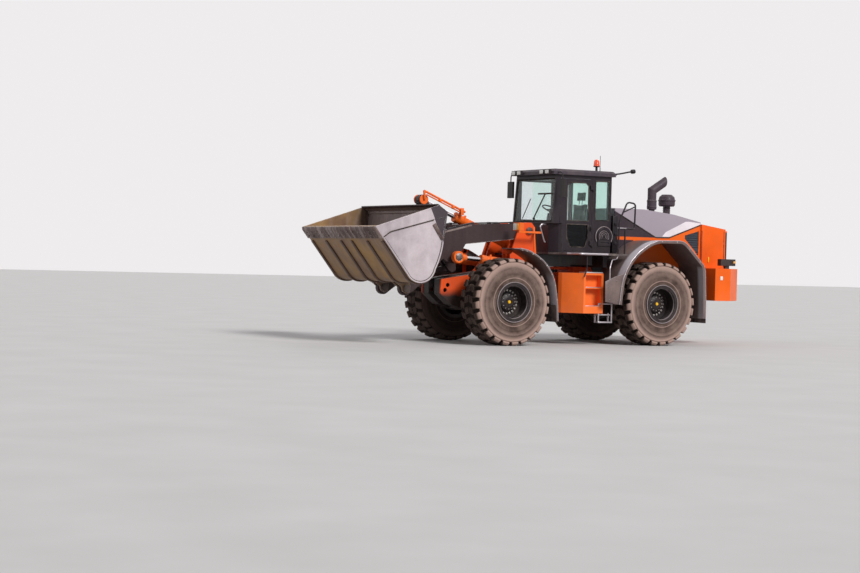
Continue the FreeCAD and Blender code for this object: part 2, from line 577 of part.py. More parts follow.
def cross_beams():
    """Beams on the rails that carry the platform, the cab and the hood's front end."""
    s = [box(DECK_X + 290, DECK_X + 390, -BEAM_Y, BEAM_Y, FRAME_Z1, DECK_Z0),
         box(-330, -250, -BEAM_Y, BEAM_Y, FRAME_Z1 + 40, DECK_Z0),
         box(-420, -250, -RAIL_1, RAIL_1, FRAME_Z1, FRAME_Z1 + 40)]
    front = fuse(s[1], s[2])
    wall = fuse(box(HOOD_X1 - 80, HOOD_X1 - 40, -RAIL_1, RAIL_1, RAIL_TOP, HOOD_Z0),
                box(HOOD_X1 - 80, HOOD_X1, -HOOD_Y, HOOD_Y, HOOD_Z0 - 60, HOOD_Z0))
    return s[0], front, wall


def counterweight():
    line = [(REAR_X, 860), (REAR_X + 60, 920), (REAR_X + 580, CW_Y), (CW_X, CW_Y)]
    line = [(x, -y) for x, y in line[::-1]] + line
    c = plan(line, CW_Z0, CW_Z1)
    c = c.cut(box(RAIL_END, CW_X + 10, -RAIL_1, RAIL_1, CW_Z0 - 10, RAIL_TOP))
    c = c.cut(box(REAR_X - 10, TOW_X - 90, -TOW_GAP_Y, TOW_GAP_Y, TOW_Z0, TOW_Z1))
    c = c.cut(box(TOW_X - 95, TOW_X + 60, -TOW_GAP_Y, TOW_GAP_Y, TOW_Z0, TOW_Z1))
    return c.cut(zcyl(TOW_X, 0, TOW_R, TOW_Z0 - 75, CW_Z1 + 10))


TOW_X, TOW_R, TOW_GAP_Y, TOW_Z0, TOW_Z1 = REAR_X + 95.0, 30.0, 100.0, 1080.0, 1230.0


def drive_shaft(s):
    x = s * (HUB_X - 330)
    return fuse(bar((s * 80, 0, SHAFT_Z), (x, 0, SHAFT_Z), SHAFT_R),
                bar((s * 80, 0, SHAFT_Z), (s * 160, 0, SHAFT_Z), 62),
                bar((x - s * 90, 0, SHAFT_Z), (x, 0, SHAFT_Z), 80))


# Engine bay
def under_hood():
    """Everything below the hood's outer skin, full width."""
    return side([(HOOD_X1, HOOD_Z0)] + HOOD_TOP + [(HOOD_X0, HOOD_Z0)], -HOOD_Y, HOOD_Y)


LOUVRE = 48                             # step of the side grilles' louvres
SIDE_GRILLES = (
    [(HOOD_X0 + 410, 2275), (HOOD_X0 + 40, 2375), (HOOD_X0 + 40, 1995), (HOOD_X0 + 180, 1995),
     (HOOD_X0 + 410, 2210)],
    [(HOOD_X0 + 130, 1925), (HOOD_X0 + 40, 1950), (HOOD_X0 + 40, 1800), (HOOD_X0 + 60, 1800)])


def hood():
    t = HOOD_T
    inside = [(HOOD_X1 - t, HOOD_Z0 - 5)]
    inside += [(x, z - t) for x, z in ((HOOD_X1 - t, HOOD_TOP[0][1]),) + tuple(HOOD_TOP[1:3])]
    inside += [(HOOD_X0 - 5, HOOD_TOP[3][1] - t), (HOOD_X0 - 5, HOOD_Z0 - 5)]
    h = under_hood().cut(side(inside, -HOOD_Y + t, HOOD_Y - t))
    for line in SIDE_GRILLES:
        for z in range(int(line[2][1]) + 10, int(line[1][1]), LOUVRE):
            slot = side(line, HOOD_Y - 14, HOOD_Y + 5).common(
                box(HOOD_X0, HOOD_X1, HOOD_Y - 20, HOOD_Y + 10, z, z + LOUVRE - 16))
            for cut in pair(slot):
                h = h.cut(cut)
    return h


def rear_housing():
    t = 40
    s = side([(HOOD_X0, HOOD_Z0), (HOOD_X0, TAIL_Z0), (TAIL_X, TAIL_Z1), (TAIL_X, HOOD_Z0)],
             -TAIL_Y, TAIL_Y)
    s = s.cut(side([(HOOD_X0 - t, HOOD_Z0 + t), (HOOD_X0 - t, TAIL_Z0 - t),
                    (TAIL_X - 5, TAIL_Z1 - 5 - t), (TAIL_X - 5, HOOD_Z0 + t)],
                   -TAIL_Y + t, TAIL_Y - t))
    x, y = REAR_HINGE
    lug = [box(TAIL_X - 55, TAIL_X + 5, y - 20, y + 12, z, z + 25) for z in (1640, 2370)]
    pin = [zcyl(x, y, 10, z, z + 45) for z in (1655, 2335)]
    return fuse(s, *lug, *pin)


REAR_HINGE = (TAIL_X - 32.0, TAIL_Y - 24.0)


def rear_grille():
    """Louvred door over the cooler, hinged on its left edge."""
    x, y = REAR_HINGE
    z0, z1 = 1672.0, 2363.0
    w = y - 30
    door = box(TAIL_X - 50, TAIL_X - 8, -w, w, z0, z1)
    n = 9
    step = (z1 - z0 - 100) / n
    for i in range(n):
        z = z0 + 60 + i * step
        door = door.cut(box(TAIL_X - 60, TAIL_X, -w + 60, w - 60, z, z + step - 28))
    knuckle = fuse(zcyl(x, y, 20, z0, z1), box(TAIL_X - 50, TAIL_X - 14, w - 10, y, z0, z1))
    return fuse(door, knuckle).cut(zcyl(x, y, 10 + FIT, z0 - 5, z0 + 35)).cut(
        zcyl(x, y, 10 + FIT, z1 - 35, z1 + 5))


STACK = (HOOD_X0 + 1075, 350.0)
CLEANER_X = HOOD_X0 + 420


def exhaust_stack():
    """Silencer and tailpipe, whose open tip is cut upright."""
    x, y = STACK
    r, knee, tip = 62, 3330, (x - 330, 3402)
    s = fuse(zcyl(x, y, r, 2650, knee), zcyl(x, y, 100, 2790, 3230),
             Part.makeSphere(r, V(x, y, knee)), bar((x, y, knee), (tip[0], y, tip[1]), r))
    s = s.cut(box(tip[0] - 200, tip[0] + 30, y - 100, y + 100, knee - 100, knee + 250))
    s = s.cut(bar((x - 180, y, knee + 39), (tip[0] - 50, y, tip[1] + 11), r - 8))
    return s.cut(under_hood())


def pre_cleaner():
    neck = []
    for rib in (150, 195, 240):
        neck += [(rib, 75), (rib + 8, 86), (rib + 16, 75)]
    body = [(0, 0), (0, 75)] + neck + [(290, 75), (290, 150), (320, 175), (400, 175), (405, 186),
                                       (425, 186), (430, 175), (490, 160), (540, 105), (540, 0)]
    return turned(body, (CLEANER_X, 0, 2600), (0, 0, 1)).cut(under_hood())


GUARD_T = 16                            # thickness of the rear fender's edge strip and guard


def rear_fender():
    top = [(-1097, 560), (-1095, 880), (-1055, 1630), (-505, 2140), (255, 2140), (775, 1800),
           (1025, 1350), (1085, 830)]
    top = [(x - HUB_X, z) for x, z in top]
    return fuse(sheet(top, FENDER_T, HOOD_Y, FENDER_Y1),
                sheet(top, 60, FENDER_Y1 - GUARD_T, FENDER_Y1))


def mudguard():
    """Flat plate that closes the gap between the left rear fender and its tank."""
    line = [(-350, 1283), (-365, 878), (-700, 831), (-765, 1340), (-790, 1440), (-600, 1390)]
    plate = side(line, FENDER_Y1 - 2 * GUARD_T, FENDER_Y1 - GUARD_T).cut(rear_fender())
    return max(plate.Solids, key=lambda solid: solid.Volume)


# Tanks, steps, platform, rails
def tank():
    line = [(TANK_X0, TANK_Y0), (TANK_X0, TANK_Y1), (20, TANK_Y1), (TANK_X1 - 30, 875),
            (TANK_X1, 790), (120, TANK_Y0)]
    t = [plan(line, TANK_Z0, TANK_Z1)]
    for z0 in (700, 1200):
        t.append(box(TANK_X0, TANK_X0 + 60, RAIL_1, TANK_Y0, z0, z0 + 60))
    depth = 150
    x0, x1 = TANK_X0 + 50, TANK_X0 + 430
    body = fuse(*t).cut(box(x0, x1, TANK_Y1 - depth, TANK_Y1 + 5, 760, 1400))
    treads = [box(x0, x1, TANK_Y1 - depth, TANK_Y1 - 2, z, z + 22) for z in (760, 1130)]
    return fuse(body, *treads)


def step():
    """Hanging step below the left tank."""
    y = TANK_Y1
    s = [box(x, x + 50, y - 120, y - 100, 270, TANK_Z0) for x in (TANK_X0 + 20, TANK_X0 + 270)]
    for z, t in ((250, 30), (430, 25)):
        s.append(box(TANK_X0 + 20, TANK_X0 + 320, y - 180, y, z, z + t))
    return fuse(*s)


def platform():
    line = [(DECK_X, DECK_Y), (150, DECK_Y), (150, 1000), (320, 680), (430, 560)]
    line += [(x, -y) for x, y in line[::-1]]
    return plan(line, DECK_Z0, DECK_Z1)


def handrail():
    """Bent rail behind the cab with its brace and cross bar."""
    x, y, r = DECK_X, DECK_Y - 30, 17
    loop = pipe([(x + 220, y, DECK_Z1 - 5), (x + 205, y, 2500), (x + 20, y, 2885),
                 (x - 180, y, 2860), (x - 170, y, 2350), (x + 60, y, 2350),
                 (x + 60, y, DECK_Z1 - 5)], r, 60)
    loop = loop.cut(box(x, x + 300, y - 2 * r, y + 2 * r, DECK_Z1 - 40, DECK_Z1))
    brace = bar((x + 120, y, 2676), (x - 176, y, 2800), r * 0.8)
    return fuse(loop, brace)


# Cab
def cab_shell():
    t, y = CAB_T, CAB_Y
    low = [(CAB_REAR, y), (240, y), (290, 700), (CAB_FRONT, 520)]
    low += [(a, -b) for a, b in low[::-1]]
    inn = [(CAB_REAR + t, y - t), (225, y - t), (255, 675), (CAB_FRONT - t, 505)]
    inn += [(a, -b) for a, b in inn[::-1]]
    base = plan(low, DECK_Z1, SILL_Z).cut(plan(inn, DECK_Z1 + 40, SILL_Z + 5))
    post = [(CAB_REAR, SILL_Z), (CAB_REAR, ROOF_Z), (395, ROOF_Z), (470, SILL_Z)]
    hol = [(CAB_REAR + t, SILL_Z - 5), (CAB_REAR + t, HEAD_Z), (340, HEAD_Z), (415, SILL_Z - 5)]
    top = side(post, -y, y).cut(side(hol, -y + t, y - t))
    sill = plan([(230, -y), (470, -y), (470, y), (230, y), (230, 700), (290, 690),
                 (CAB_FRONT - t, 505), (CAB_FRONT - t, -505), (290, -690), (230, -700)],
                SILL_Z - 30, SILL_Z)
    c = fuse(base, top, sill)
    c = c.cut(box(DOOR_X0, 240, y - t - 5, y + 5, DECK_Z1 + 40, SILL_Z))
    c = c.cut(box(DOOR_X0, DOOR_X1, y - t - 5, y + 5, SILL_Z - 40, HEAD_Z))
    for x0, x1, ya, yb in SIDE_PANES:
        c = c.cut(box(x0, x1, ya, yb, SILL_Z + 50, HEAD_Z - 20))
    x, z, r = VENT
    vent = fuse(ycyl((x, z), r, y - t + 10, y + 22),
                box(x - r, x + r, y - t + 10, y + 22, z - r - 60, z))
    for row in range(5):
        vent = vent.cut(box(x - r + 40, x + r - 40, y + 8, y + 30, z - 170 + row * 55, z - 140 + row * 55))
    c = fuse(c, vent)
    c = c.cut(box(CAB_REAR - 5, CAB_REAR + t + 5, -640, 640, SILL_Z + 50, HEAD_Z - 20))
    c = c.cut(box(330, 480, -y + t, y - t, SILL_Z, HEAD_Z))
    return c


VENT = (-790.0, 2210.0, 155.0)          # arched air vent behind the door, x, z and half width
SIDE_PANES = ((-905.0, -560.0, CAB_Y - CAB_T - 5, CAB_Y + 5),
              (-905.0, -560.0, -CAB_Y - 5, -CAB_Y + CAB_T + 5),
              (-480.0, 290.0, -CAB_Y - 5, -CAB_Y + CAB_T + 5))


def cab_glass():
    g = GLASS_T
    y = CAB_Y - CAB_T / 2
    s = []
    for x0, x1, ya, yb in SIDE_PANES:
        m = y if ya > 0 else -y - g
        s.append(box(x0, x1, m, m + g, SILL_Z + 50, HEAD_Z - 20))
    s.append(box(CAB_REAR + 20, CAB_REAR + 20 + g, -640, 640, SILL_Z + 50, HEAD_Z - 20))
    w = CAB_Y - CAB_T
    s.append(side([(448, SILL_Z), (448 + g, SILL_Z), (372 + g, HEAD_Z), (372, HEAD_Z)], -w, w))
    return s


def cab_roof():
    r = box(CAB_REAR - 60, 500, -800, 800, ROOF_Z, ROOF_Z + ROOF_T)
    return r.makeChamfer(45, [e for e in r.Edges if e.BoundBox.ZMin > ROOF_Z + ROOF_T - 1])



def cab_door():
    """Door with an upper and a lower window, hinged on its rear edge."""
    g = 5.0
    y0, y1 = CAB_Y - DOOR_T, CAB_Y
    z0, z1 = DECK_Z1 + 40 + g, HEAD_Z - g
    line = [(DOOR_X0 + g, z0), (240 - g, z0), (240 - g, SILL_Z - 35), (DOOR_X1 - g, SILL_Z - 20),
            (DOOR_X1 - g, z1), (DOOR_X0 + g, z1)]
    d = side(line, y0, y1)
    for pane in DOOR_PANES:
        d = d.cut(side(pane, y0 - 5, y1 + 5))
    x, y = DOOR_HINGE
    for z in DOOR_HINGE_Z:
        knuckle = fuse(zcyl(x, y, 16, z, z + 90), box(x, x + 60, CAB_Y - 5, y + 10, z, z + 90))
        d = fuse(d, knuckle).cut(zcyl(x, y, 8 + FIT, z - 5, z + 95))
    return d


PANE_X0, PANE_X1 = -400.0, 135.0
DOOR_PANES = (
    [(PANE_X0, 2475), (PANE_X1, 2475), (PANE_X1, 3200), (PANE_X1 - 60, 3260), (PANE_X0 + 60, 3260),
     (PANE_X0, 3200)],
    [(PANE_X0, 2420), (PANE_X1, 2420), (PANE_X1, 2160), (PANE_X1 - 95, 1950),
     (PANE_X0 + 75, 1950), (PANE_X0, 2160)])
DOOR_HINGE = (DOOR_X0, CAB_Y + 22.0)
DOOR_HINGE_Z = (2000.0, 3120.0)


def door_lugs():
    """Hinge pins on the cab's rear door post, under each knuckle."""
    x, y = DOOR_HINGE
    s = []
    for z in DOOR_HINGE_Z:
        s.append(box(x - 40, x - 2, CAB_Y, y + 14, z - 24, z - 4))
        s.append(zcyl(x, y, 14, z - 24, z - 4))
        s.append(zcyl(x, y, 8, z - 10, z + 80))
    return s


def door_glass():
    y = CAB_Y - DOOR_T / 2 - GLASS_T / 2
    return [side(pane, y, y + GLASS_T) for pane in DOOR_PANES]


def operator_chair():
    z = DECK_Z1 + 40
    foot = box(-560, -240, -170, 170, z, z + 260)
    pad = box(-640, -120, -260, 260, z + 255, z + 400)
    back = side([(-700, z + 330), (-560, z + 400), (-640, z + 1010), (-750, z + 1000)], -240, 240)
    head = side([(-650, z + 1030), (-745, z + 1020), (-765, z + 1230), (-690, z + 1240)], -140, 140)
    neck = box(-715, -695, -60, 60, z + 980, z + 1080)
    return fuse(foot, pad, back, head, neck, box(-560, -180, 265, 345, z + 540, z + 590),
                box(-640, -560, 255, 345, z + 300, z + 590),
                box(-560, -180, -345, -265, z + 540, z + 590),
                box(-640, -560, -345, -255, z + 300, z + 590))


def steering_console():
    z = DECK_Z1 + 40
    post = side([(90, z), (200, z), (60, z + 760), (0, z + 760)], -60, 60)
    wheel = Part.makeTorus(190, 15, V(10, 0, z + 840), V(-0.45, 0, 1))
    hub = bar((30, 0, z + 740), (8, 0, z + 850), 35)
    spoke = bar((10, -190, z + 840), (10, 190, z + 840), 12)
    return fuse(post, wheel, hub, spoke)


def work_lamps():
    s = []
    for y in (-620, -420, 420, 620):
        s.append(box(500, 560, y - 70, y + 70, ROOF_Z + 5, ROOF_Z + 95))
        s.append(box(CAB_REAR - 110, CAB_REAR - 60, y - 60, y + 60, ROOF_Z + 5, ROOF_Z + 85))
    return s


def beacon():
    z = ROOF_Z + ROOF_T
    return fuse(zcyl(-730, 500, 14, z, z + 110), zcyl(-730, 500, 62, z + 100, z + 250)), \
        zcyl(-860, 250, 6, z, 3840)


def mirror_arm():
    """Left mirror on its bent arm."""
    arm = pipe([(400, CAB_Y, ROOF_Z + 40), (400, CAB_Y + 220, ROOF_Z + 40),
                (400, CAB_Y + 220, 3050)], 12, 70)
    glass = box(375, 418, CAB_Y + 120, CAB_Y + 320, 2950, 3290)
    return fuse(arm, glass).cut(box(CAB_REAR - 60, 500, -800, 800, ROOF_Z, ROOF_Z + ROOF_T))


def tail_lamp():
    x, y = REAR_X + 470, CW_Y - 280
    return fuse(box(x - 190, x + 190, y - 60, y + 60, CW_Z1 + 60, CW_Z1 + 200),
                box(x - 50, x + 50, y - 30, y + 30, CW_Z1, CW_Z1 + 65))


# The pieces
tread = tyre()
for n, x, s in WHEELS:
    save("tyre_" + n, tread.translated(V(x, s * TRACK / 2, HUB_Z)))
    save("rim_" + n, rim(x, s))
save("front_axle", axle(HUB_X, -1))
save("rear_axle", axle(-HUB_X, 1))
save("front_frame", front_frame(), tilt_seat())
save("towers", *pair(tower()))
save("tower_cheeks", *pair(tower_cheek()))
save("front_fenders", *pair(front_fender()))
save("head_lamps", *pair(head_lamp()))
save("boom", boom())
pin = headed_pin(PIN_B, R_BUCKET, ARM_0 - AIR - 55, ARM_1 + AIR + 55)
save("bucket_pins", *pair(pin))
save("crank_pin", headed_pin(PIN_C, R_CRANK, -BRACKET_1 - 3, BRACKET_1 + 3))
save("bell_crank", bell_crank())
save("bucket_link", bucket_link())
save("link_pin", headed_pin(PIN_U, R_LINK, -LINK_H - AIR - 38, LINK_H + AIR + 38))
save("bucket", bucket())
save("bucket_edge", bucket_edge(), *wear_strips())
barrel, rod = hydraulic(LIFT_0, LIFT_1, LIFT_Y, R_LIFT, LIFT_R, 48, 1300, 120, 110, 58)
save("lift_barrels", *pair(barrel))
save("lift_rods", *pair(rod))
barrel, rod = hydraulic(TILT_0, PIN_T, 0, R_TILT, 92, 45, 1390, 100, 92, CRANK_0 - 8)
save("tilt_barrel", barrel)
save("tilt_pin", headed_pin(TILT_0, R_TILT, -146, 146))
save("tilt_rod", rod)
barrel, rod = steering_cylinder()
for n, f in (("left", lambda q: q), ("right", mirror)):
    save("steer_barrel_" + n, f(barrel))
    save("steer_rod_" + n, f(rod))
save("drive_shaft_front", drive_shaft(1))
save("drive_shaft_rear", drive_shaft(-1))
save("rear_rails", *pair(rail()))
save("rear_frame", rear_frame())
save("cross_beams", *cross_beams())
save("counterweight", counterweight())
save("engine_block", box(HOOD_X0 + 440, HOOD_X1 - 280, -300, 300, RAIL_TOP, 2100))
save("hood", hood())
save("rear_housing", rear_housing())
save("rear_grille", rear_grille())
save("exhaust_stack", exhaust_stack())
save("pre_cleaner", pre_cleaner())
save("rear_fenders", *pair(rear_fender()))
save("tanks", *pair(tank()))
save("steps", *pair(step()), *pair(mudguard()))
save("platform", platform())
save("handrails", *pair(handrail()))
save("cab_shell", fuse(cab_shell(), *door_lugs()))
save("cab_glass", *cab_glass())
save("cab_roof", cab_roof())
save("cab_door", cab_door())
save("door_glass", *door_glass())
save("operator_chair", operator_chair())
save("steering_console", steering_console())
save("work_lamps", *work_lamps())
save("beacon", *beacon())
save("mirrors", *pair(mirror_arm()))
save("tail_lamps", *pair(tail_lamp()))
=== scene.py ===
import bpy
import bmesh
import json
import math
from mathutils import Matrix, Vector


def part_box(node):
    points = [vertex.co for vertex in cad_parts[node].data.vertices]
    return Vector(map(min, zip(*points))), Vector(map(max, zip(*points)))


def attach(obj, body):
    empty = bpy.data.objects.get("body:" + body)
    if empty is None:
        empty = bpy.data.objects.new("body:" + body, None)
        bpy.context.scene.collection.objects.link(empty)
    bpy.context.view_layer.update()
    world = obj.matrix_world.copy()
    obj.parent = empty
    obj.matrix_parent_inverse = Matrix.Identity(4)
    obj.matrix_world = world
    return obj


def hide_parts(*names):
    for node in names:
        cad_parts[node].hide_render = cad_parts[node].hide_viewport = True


# Dresses a wheel loader: its paint, rubber, glass and small parts. Metres. +X forward, +Y
# left, +Z up.
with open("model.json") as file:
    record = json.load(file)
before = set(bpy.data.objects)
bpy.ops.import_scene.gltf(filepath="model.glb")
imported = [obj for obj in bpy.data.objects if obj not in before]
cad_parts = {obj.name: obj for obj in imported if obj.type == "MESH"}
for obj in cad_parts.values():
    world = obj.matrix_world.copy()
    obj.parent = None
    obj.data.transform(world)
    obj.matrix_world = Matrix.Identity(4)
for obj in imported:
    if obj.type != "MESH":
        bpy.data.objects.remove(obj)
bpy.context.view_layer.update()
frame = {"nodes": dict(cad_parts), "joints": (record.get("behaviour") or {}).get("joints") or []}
nodes = frame["nodes"]
pins = {joint["name"]: Vector(joint["pos_m"]) for joint in frame["joints"] if "pos_m" in joint}
HINGE_X = pins["steering"].x
LEFT_RIGHT = (1, -1)


def drawn(node):
    """Lowest and highest corner of a CAD node, in the drawing's own X."""
    low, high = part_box(node)
    move = Vector((HINGE_X, 0, 0))
    return low - move, high - move


# Sizes read from the CAD nodes
TYRE_LOW, TYRE_HIGH = drawn("tyre_front_left")
TYRE_R = (TYRE_HIGH.z - TYRE_LOW.z) / 2
TYRE_HALF = (TYRE_HIGH.y - TYRE_LOW.y) / 2
BUCKET_Y = drawn("bucket")[1].y
HOOD_Y = drawn("hood")[1].y
ROOF_LOW, ROOF_HIGH = drawn("cab_roof")
DECK_LOW, DECK_HIGH = drawn("platform")
TAIL_HIGH = drawn("rear_housing")[1]
BALLAST_LOW, BALLAST_HIGH = drawn("counterweight")
FENDER_Y = drawn("front_fenders")[1].y
TANK_LOW, TANK_HIGH = drawn("tanks")


# Camera, light and floor
def set_camera():
    """The photograph's view: from the front left, low, with a slight tilt of the frame."""
    eye, target, tilt = Vector((20.110, 30.693, 1.583)), Vector((2.465, 0.0, 1.098)), 1.504
    data = bpy.data.cameras.new("photo_view")
    data.lens = 75.35
    data.sensor_width = 36.0
    data.clip_end = 300.0
    camera = bpy.data.objects.new("photo_view", data)
    look = (target - eye).to_track_quat("-Z", "Y").to_matrix().to_4x4()
    roll = Matrix.Rotation(math.radians(tilt), 4, "Z")
    camera.matrix_world = Matrix.Translation(eye) @ look @ roll
    bpy.context.scene.collection.objects.link(camera)
    bpy.context.scene.camera = camera


def add_sun(name, strength, wide, towards):
    data = bpy.data.lights.new(name, "SUN")
    data.energy = strength
    data.angle = math.radians(wide)
    lamp = bpy.data.objects.new(name, data)
    lamp.rotation_euler = Vector(towards).to_track_quat("-Z", "Y").to_euler()
    bpy.context.scene.collection.objects.link(lamp)


def put(tree, kind, values=(), **settings):
    """Adds a shader node with its settings. Each value is a number, a colour or a socket to read."""
    made = tree.nodes.new("ShaderNode" + kind)
    for key, value in settings.items():
        setattr(made, key, value)
    for place, value in dict(values).items():
        if isinstance(value, bpy.types.NodeSocket):
            tree.links.new(value, made.inputs[place])
        else:
            made.inputs[place].default_value = value
    return made


def set_light():
    add_sun("key_light", 2.9, 18, (0.10, -0.80, -0.60))
    add_sun("front_light", 0.45, 40, (-0.9, 0.15, -0.4))
    add_sun("back_light", 0.45, 40, (0.6, 0.6, -0.5))
    world = bpy.data.worlds.new("studio")
    bpy.context.scene.world = world
    world.use_nodes = True
    tree = world.node_tree
    tree.nodes.clear()
    path = put(tree, "LightPath").outputs
    seen = maths(tree, "MAXIMUM", path["Is Camera Ray"], path["Is Glossy Ray"])
    seen = maths(tree, "MAXIMUM", seen, path["Is Transmission Ray"])
    colour = blend_colours(tree, seen, (0.33, 0.33, 0.35, 1), (0.86, 0.84, 0.85, 1))
    back = put(tree, "Background", {0: colour, 1: 1.0})
    put(tree, "OutputWorld", {0: back.outputs[0]})


# Effects that several materials share
def new_group(name, inputs, outputs):
    """A node group with number inputs as (name, value). Outputs are (name, kind of socket)."""
    tree = bpy.data.node_groups.new(name, "ShaderNodeTree")
    for label, value in inputs:
        made = tree.interface.new_socket(label, in_out="INPUT", socket_type="NodeSocketFloat")
        made.default_value = value
    for label, kind in outputs:
        tree.interface.new_socket(label, in_out="OUTPUT", socket_type="NodeSocket" + kind)
    return tree, tree.nodes.new("NodeGroupInput").outputs


def close_group(tree, results):
    end = tree.nodes.new("NodeGroupOutput")
    for place, value in results.items():
        tree.links.new(value, end.inputs[place])
    return tree


def maths(tree, kind, a, b=0.0, clamp=False):
    return put(tree, "Math", {0: a, 1: b}, operation=kind, use_clamp=clamp).outputs[0]


def sum_of(tree, a, b):
    return maths(tree, "ADD", a, b)


def product(tree, a, b):
    return maths(tree, "MULTIPLY", a, b)


def spread(tree, value, low, high, to_low=0.0, to_high=1.0):
    return put(tree, "MapRange", {0: value, 1: low, 2: high, 3: to_low, 4: to_high}).outputs[0]


def noise(tree, where, scale, detail=4.0, rough=0.55):
    return put(tree, "TexNoise", {"Vector": where, "Scale": scale, "Detail": detail,
                                  "Roughness": rough}).outputs["Fac"]


def object_place(tree):
    return put(tree, "TexCoord").outputs["Object"]


def face_normal(tree):
    return put(tree, "NewGeometry").outputs["Normal"]


def axes(tree, vector):
    return put(tree, "SeparateXYZ", {0: vector}).outputs


def bumped(tree, strength, depth, height, normal=None):
    """The way a surface faces, made uneven by a height. The normal can bring in rounded edges."""
    values = {"Strength": strength, "Distance": depth, "Height": height}
    if normal is not None:
        values["Normal"] = normal
    return put(tree, "Bump", values).outputs[0]


def blend_colours(tree, share, first, second):
    return put(tree, "Mix", {0: share, 6: first, 7: second}, data_type="RGBA").outputs[2]


def make_dust_group():
    """Dust: thicker near the ground and on what faces up, broken into patches."""
    tree, given = new_group("dust", (("Amount", 0.5), ("Height", 1.6), ("Patch", 2.0)),
                            (("Mask", "Float"),))
    where = object_place(tree)
    z = axes(tree, where)["Z"]
    up = axes(tree, face_normal(tree))["Z"]
    low = spread(tree, z, 0.1, given["Height"], 0.75, 0.0)
    patch = spread(tree, noise(tree, where, given["Patch"], 8.0, 0.62), 0.34, 0.68)
    speck = spread(tree, noise(tree, where, 38.0, 3.0), 0.40, 0.70, -0.12, 0.16)
    flat = spread(tree, up, 0.35, 1.0, 0.0, 0.42)
    whole = sum_of(tree, sum_of(tree, low, flat), 0.22)
    mask = sum_of(tree, product(tree, whole, patch), speck)
    mask = maths(tree, "ADD", product(tree, mask, given["Amount"]), clamp=True)
    return close_group(tree, {"Mask": mask})


def make_edge_group():
    """Edges: where paint wears off a corner, and the small round that every edge has."""
    tree, given = new_group("worn_edges", (("Radius", 0.01), ("Wear", 1.0)),
                            (("Mask", "Float"), ("Normal", "Vector")))
    face = face_normal(tree)
    soft = put(tree, "Bevel", {"Radius": given["Radius"]}, samples=4).outputs[0]
    turn = put(tree, "VectorMath", {0: face, 1: soft}, operation="DOT_PRODUCT").outputs["Value"]
    edge = spread(tree, turn, 0.995, 0.86)
    chip = spread(tree, noise(tree, object_place(tree), 14.0, 6.0, 0.7), 0.42, 0.62)
    return close_group(tree, {"Mask": product(tree, product(tree, edge, chip), given["Wear"]),
                              "Normal": soft})


def make_streak_group():
    """Streaks that run down with the rain, and scrapes along the length."""
    tree, given = new_group("streaks", (("Deep", 9.0), ("Across", 9.0), ("Along", 0.7),
                                        ("Contrast", 0.5)), (("Mask", "Float"),))
    size = put(tree, "CombineXYZ", {0: given["Deep"], 1: given["Across"], 2: given["Along"]})
    place = put(tree, "VectorMath", {0: object_place(tree), 1: size.outputs[0]},
                operation="MULTIPLY").outputs[0]
    line = spread(tree, noise(tree, place, 1.0, 5.0, 0.6), 0.46, 0.74)
    return close_group(tree, {"Mask": product(tree, line, given["Contrast"])})


def make_grain_group():
    """Fine unevenness of a sprayed, cast or moulded skin."""
    tree, given = new_group("skin_grain", (("Size", 90.0), ("Depth", 1.0)), (("Height", "Float"),))
    where = object_place(tree)
    fine = noise(tree, where, given["Size"], 3.0)
    wave = product(tree, noise(tree, where, 3.0, 2.0), 1.6)
    return close_group(tree, {"Height": product(tree, sum_of(tree, fine, wave), given["Depth"])})


def make_line_group():
    """1 under a slanting line in the side view, 0 above it."""
    tree, given = new_group("under_line", (("X", 0.0), ("Z", 0.0), ("Slope", 0.0)),
                            (("Mask", "Float"),))
    place = axes(tree, object_place(tree))
    run = maths(tree, "SUBTRACT", place["X"], given["X"])
    line = sum_of(tree, product(tree, run, given["Slope"]), given["Z"])
    return close_group(tree, {"Mask": maths(tree, "LESS_THAN", place["Z"], line)})


DUST = make_dust_group()
EDGES = make_edge_group()
STREAKS = make_streak_group()
GRAIN = make_grain_group()
UNDER = make_line_group()


def use(tree, group, **values):
    """Places a shared effect with its own values."""
    made = tree.nodes.new("ShaderNodeGroup")
    made.node_tree = group
    for key, value in values.items():
        made.inputs[key].default_value = value
    return made.outputs


# Finishes
def rgb(red, green, blue):
    """Colour as it shows on a screen, 0 to 255, made linear."""
    def linear(v):
        v = v / 255
        return v / 12.92 if v <= 0.04045 else ((v + 0.055) / 1.055) ** 2.4
    return (linear(red), linear(green), linear(blue), 1.0)


def scaled(colour, k):
    return (colour[0] * k, colour[1] * k, colour[2] * k, 1.0)


DUST_COLOUR = rgb(158, 140, 128)
EARTH = rgb(120, 99, 82)
BARE = rgb(150, 143, 142)


def new_material(name):
    material = bpy.data.materials.new(name)
    material.use_nodes = True
    tree = material.node_tree
    tree.nodes.clear()
    return material, tree


def close_material(tree, values):
    shader = put(tree, "BsdfPrincipled", values)
    put(tree, "OutputMaterial", {0: shader.outputs[0]})


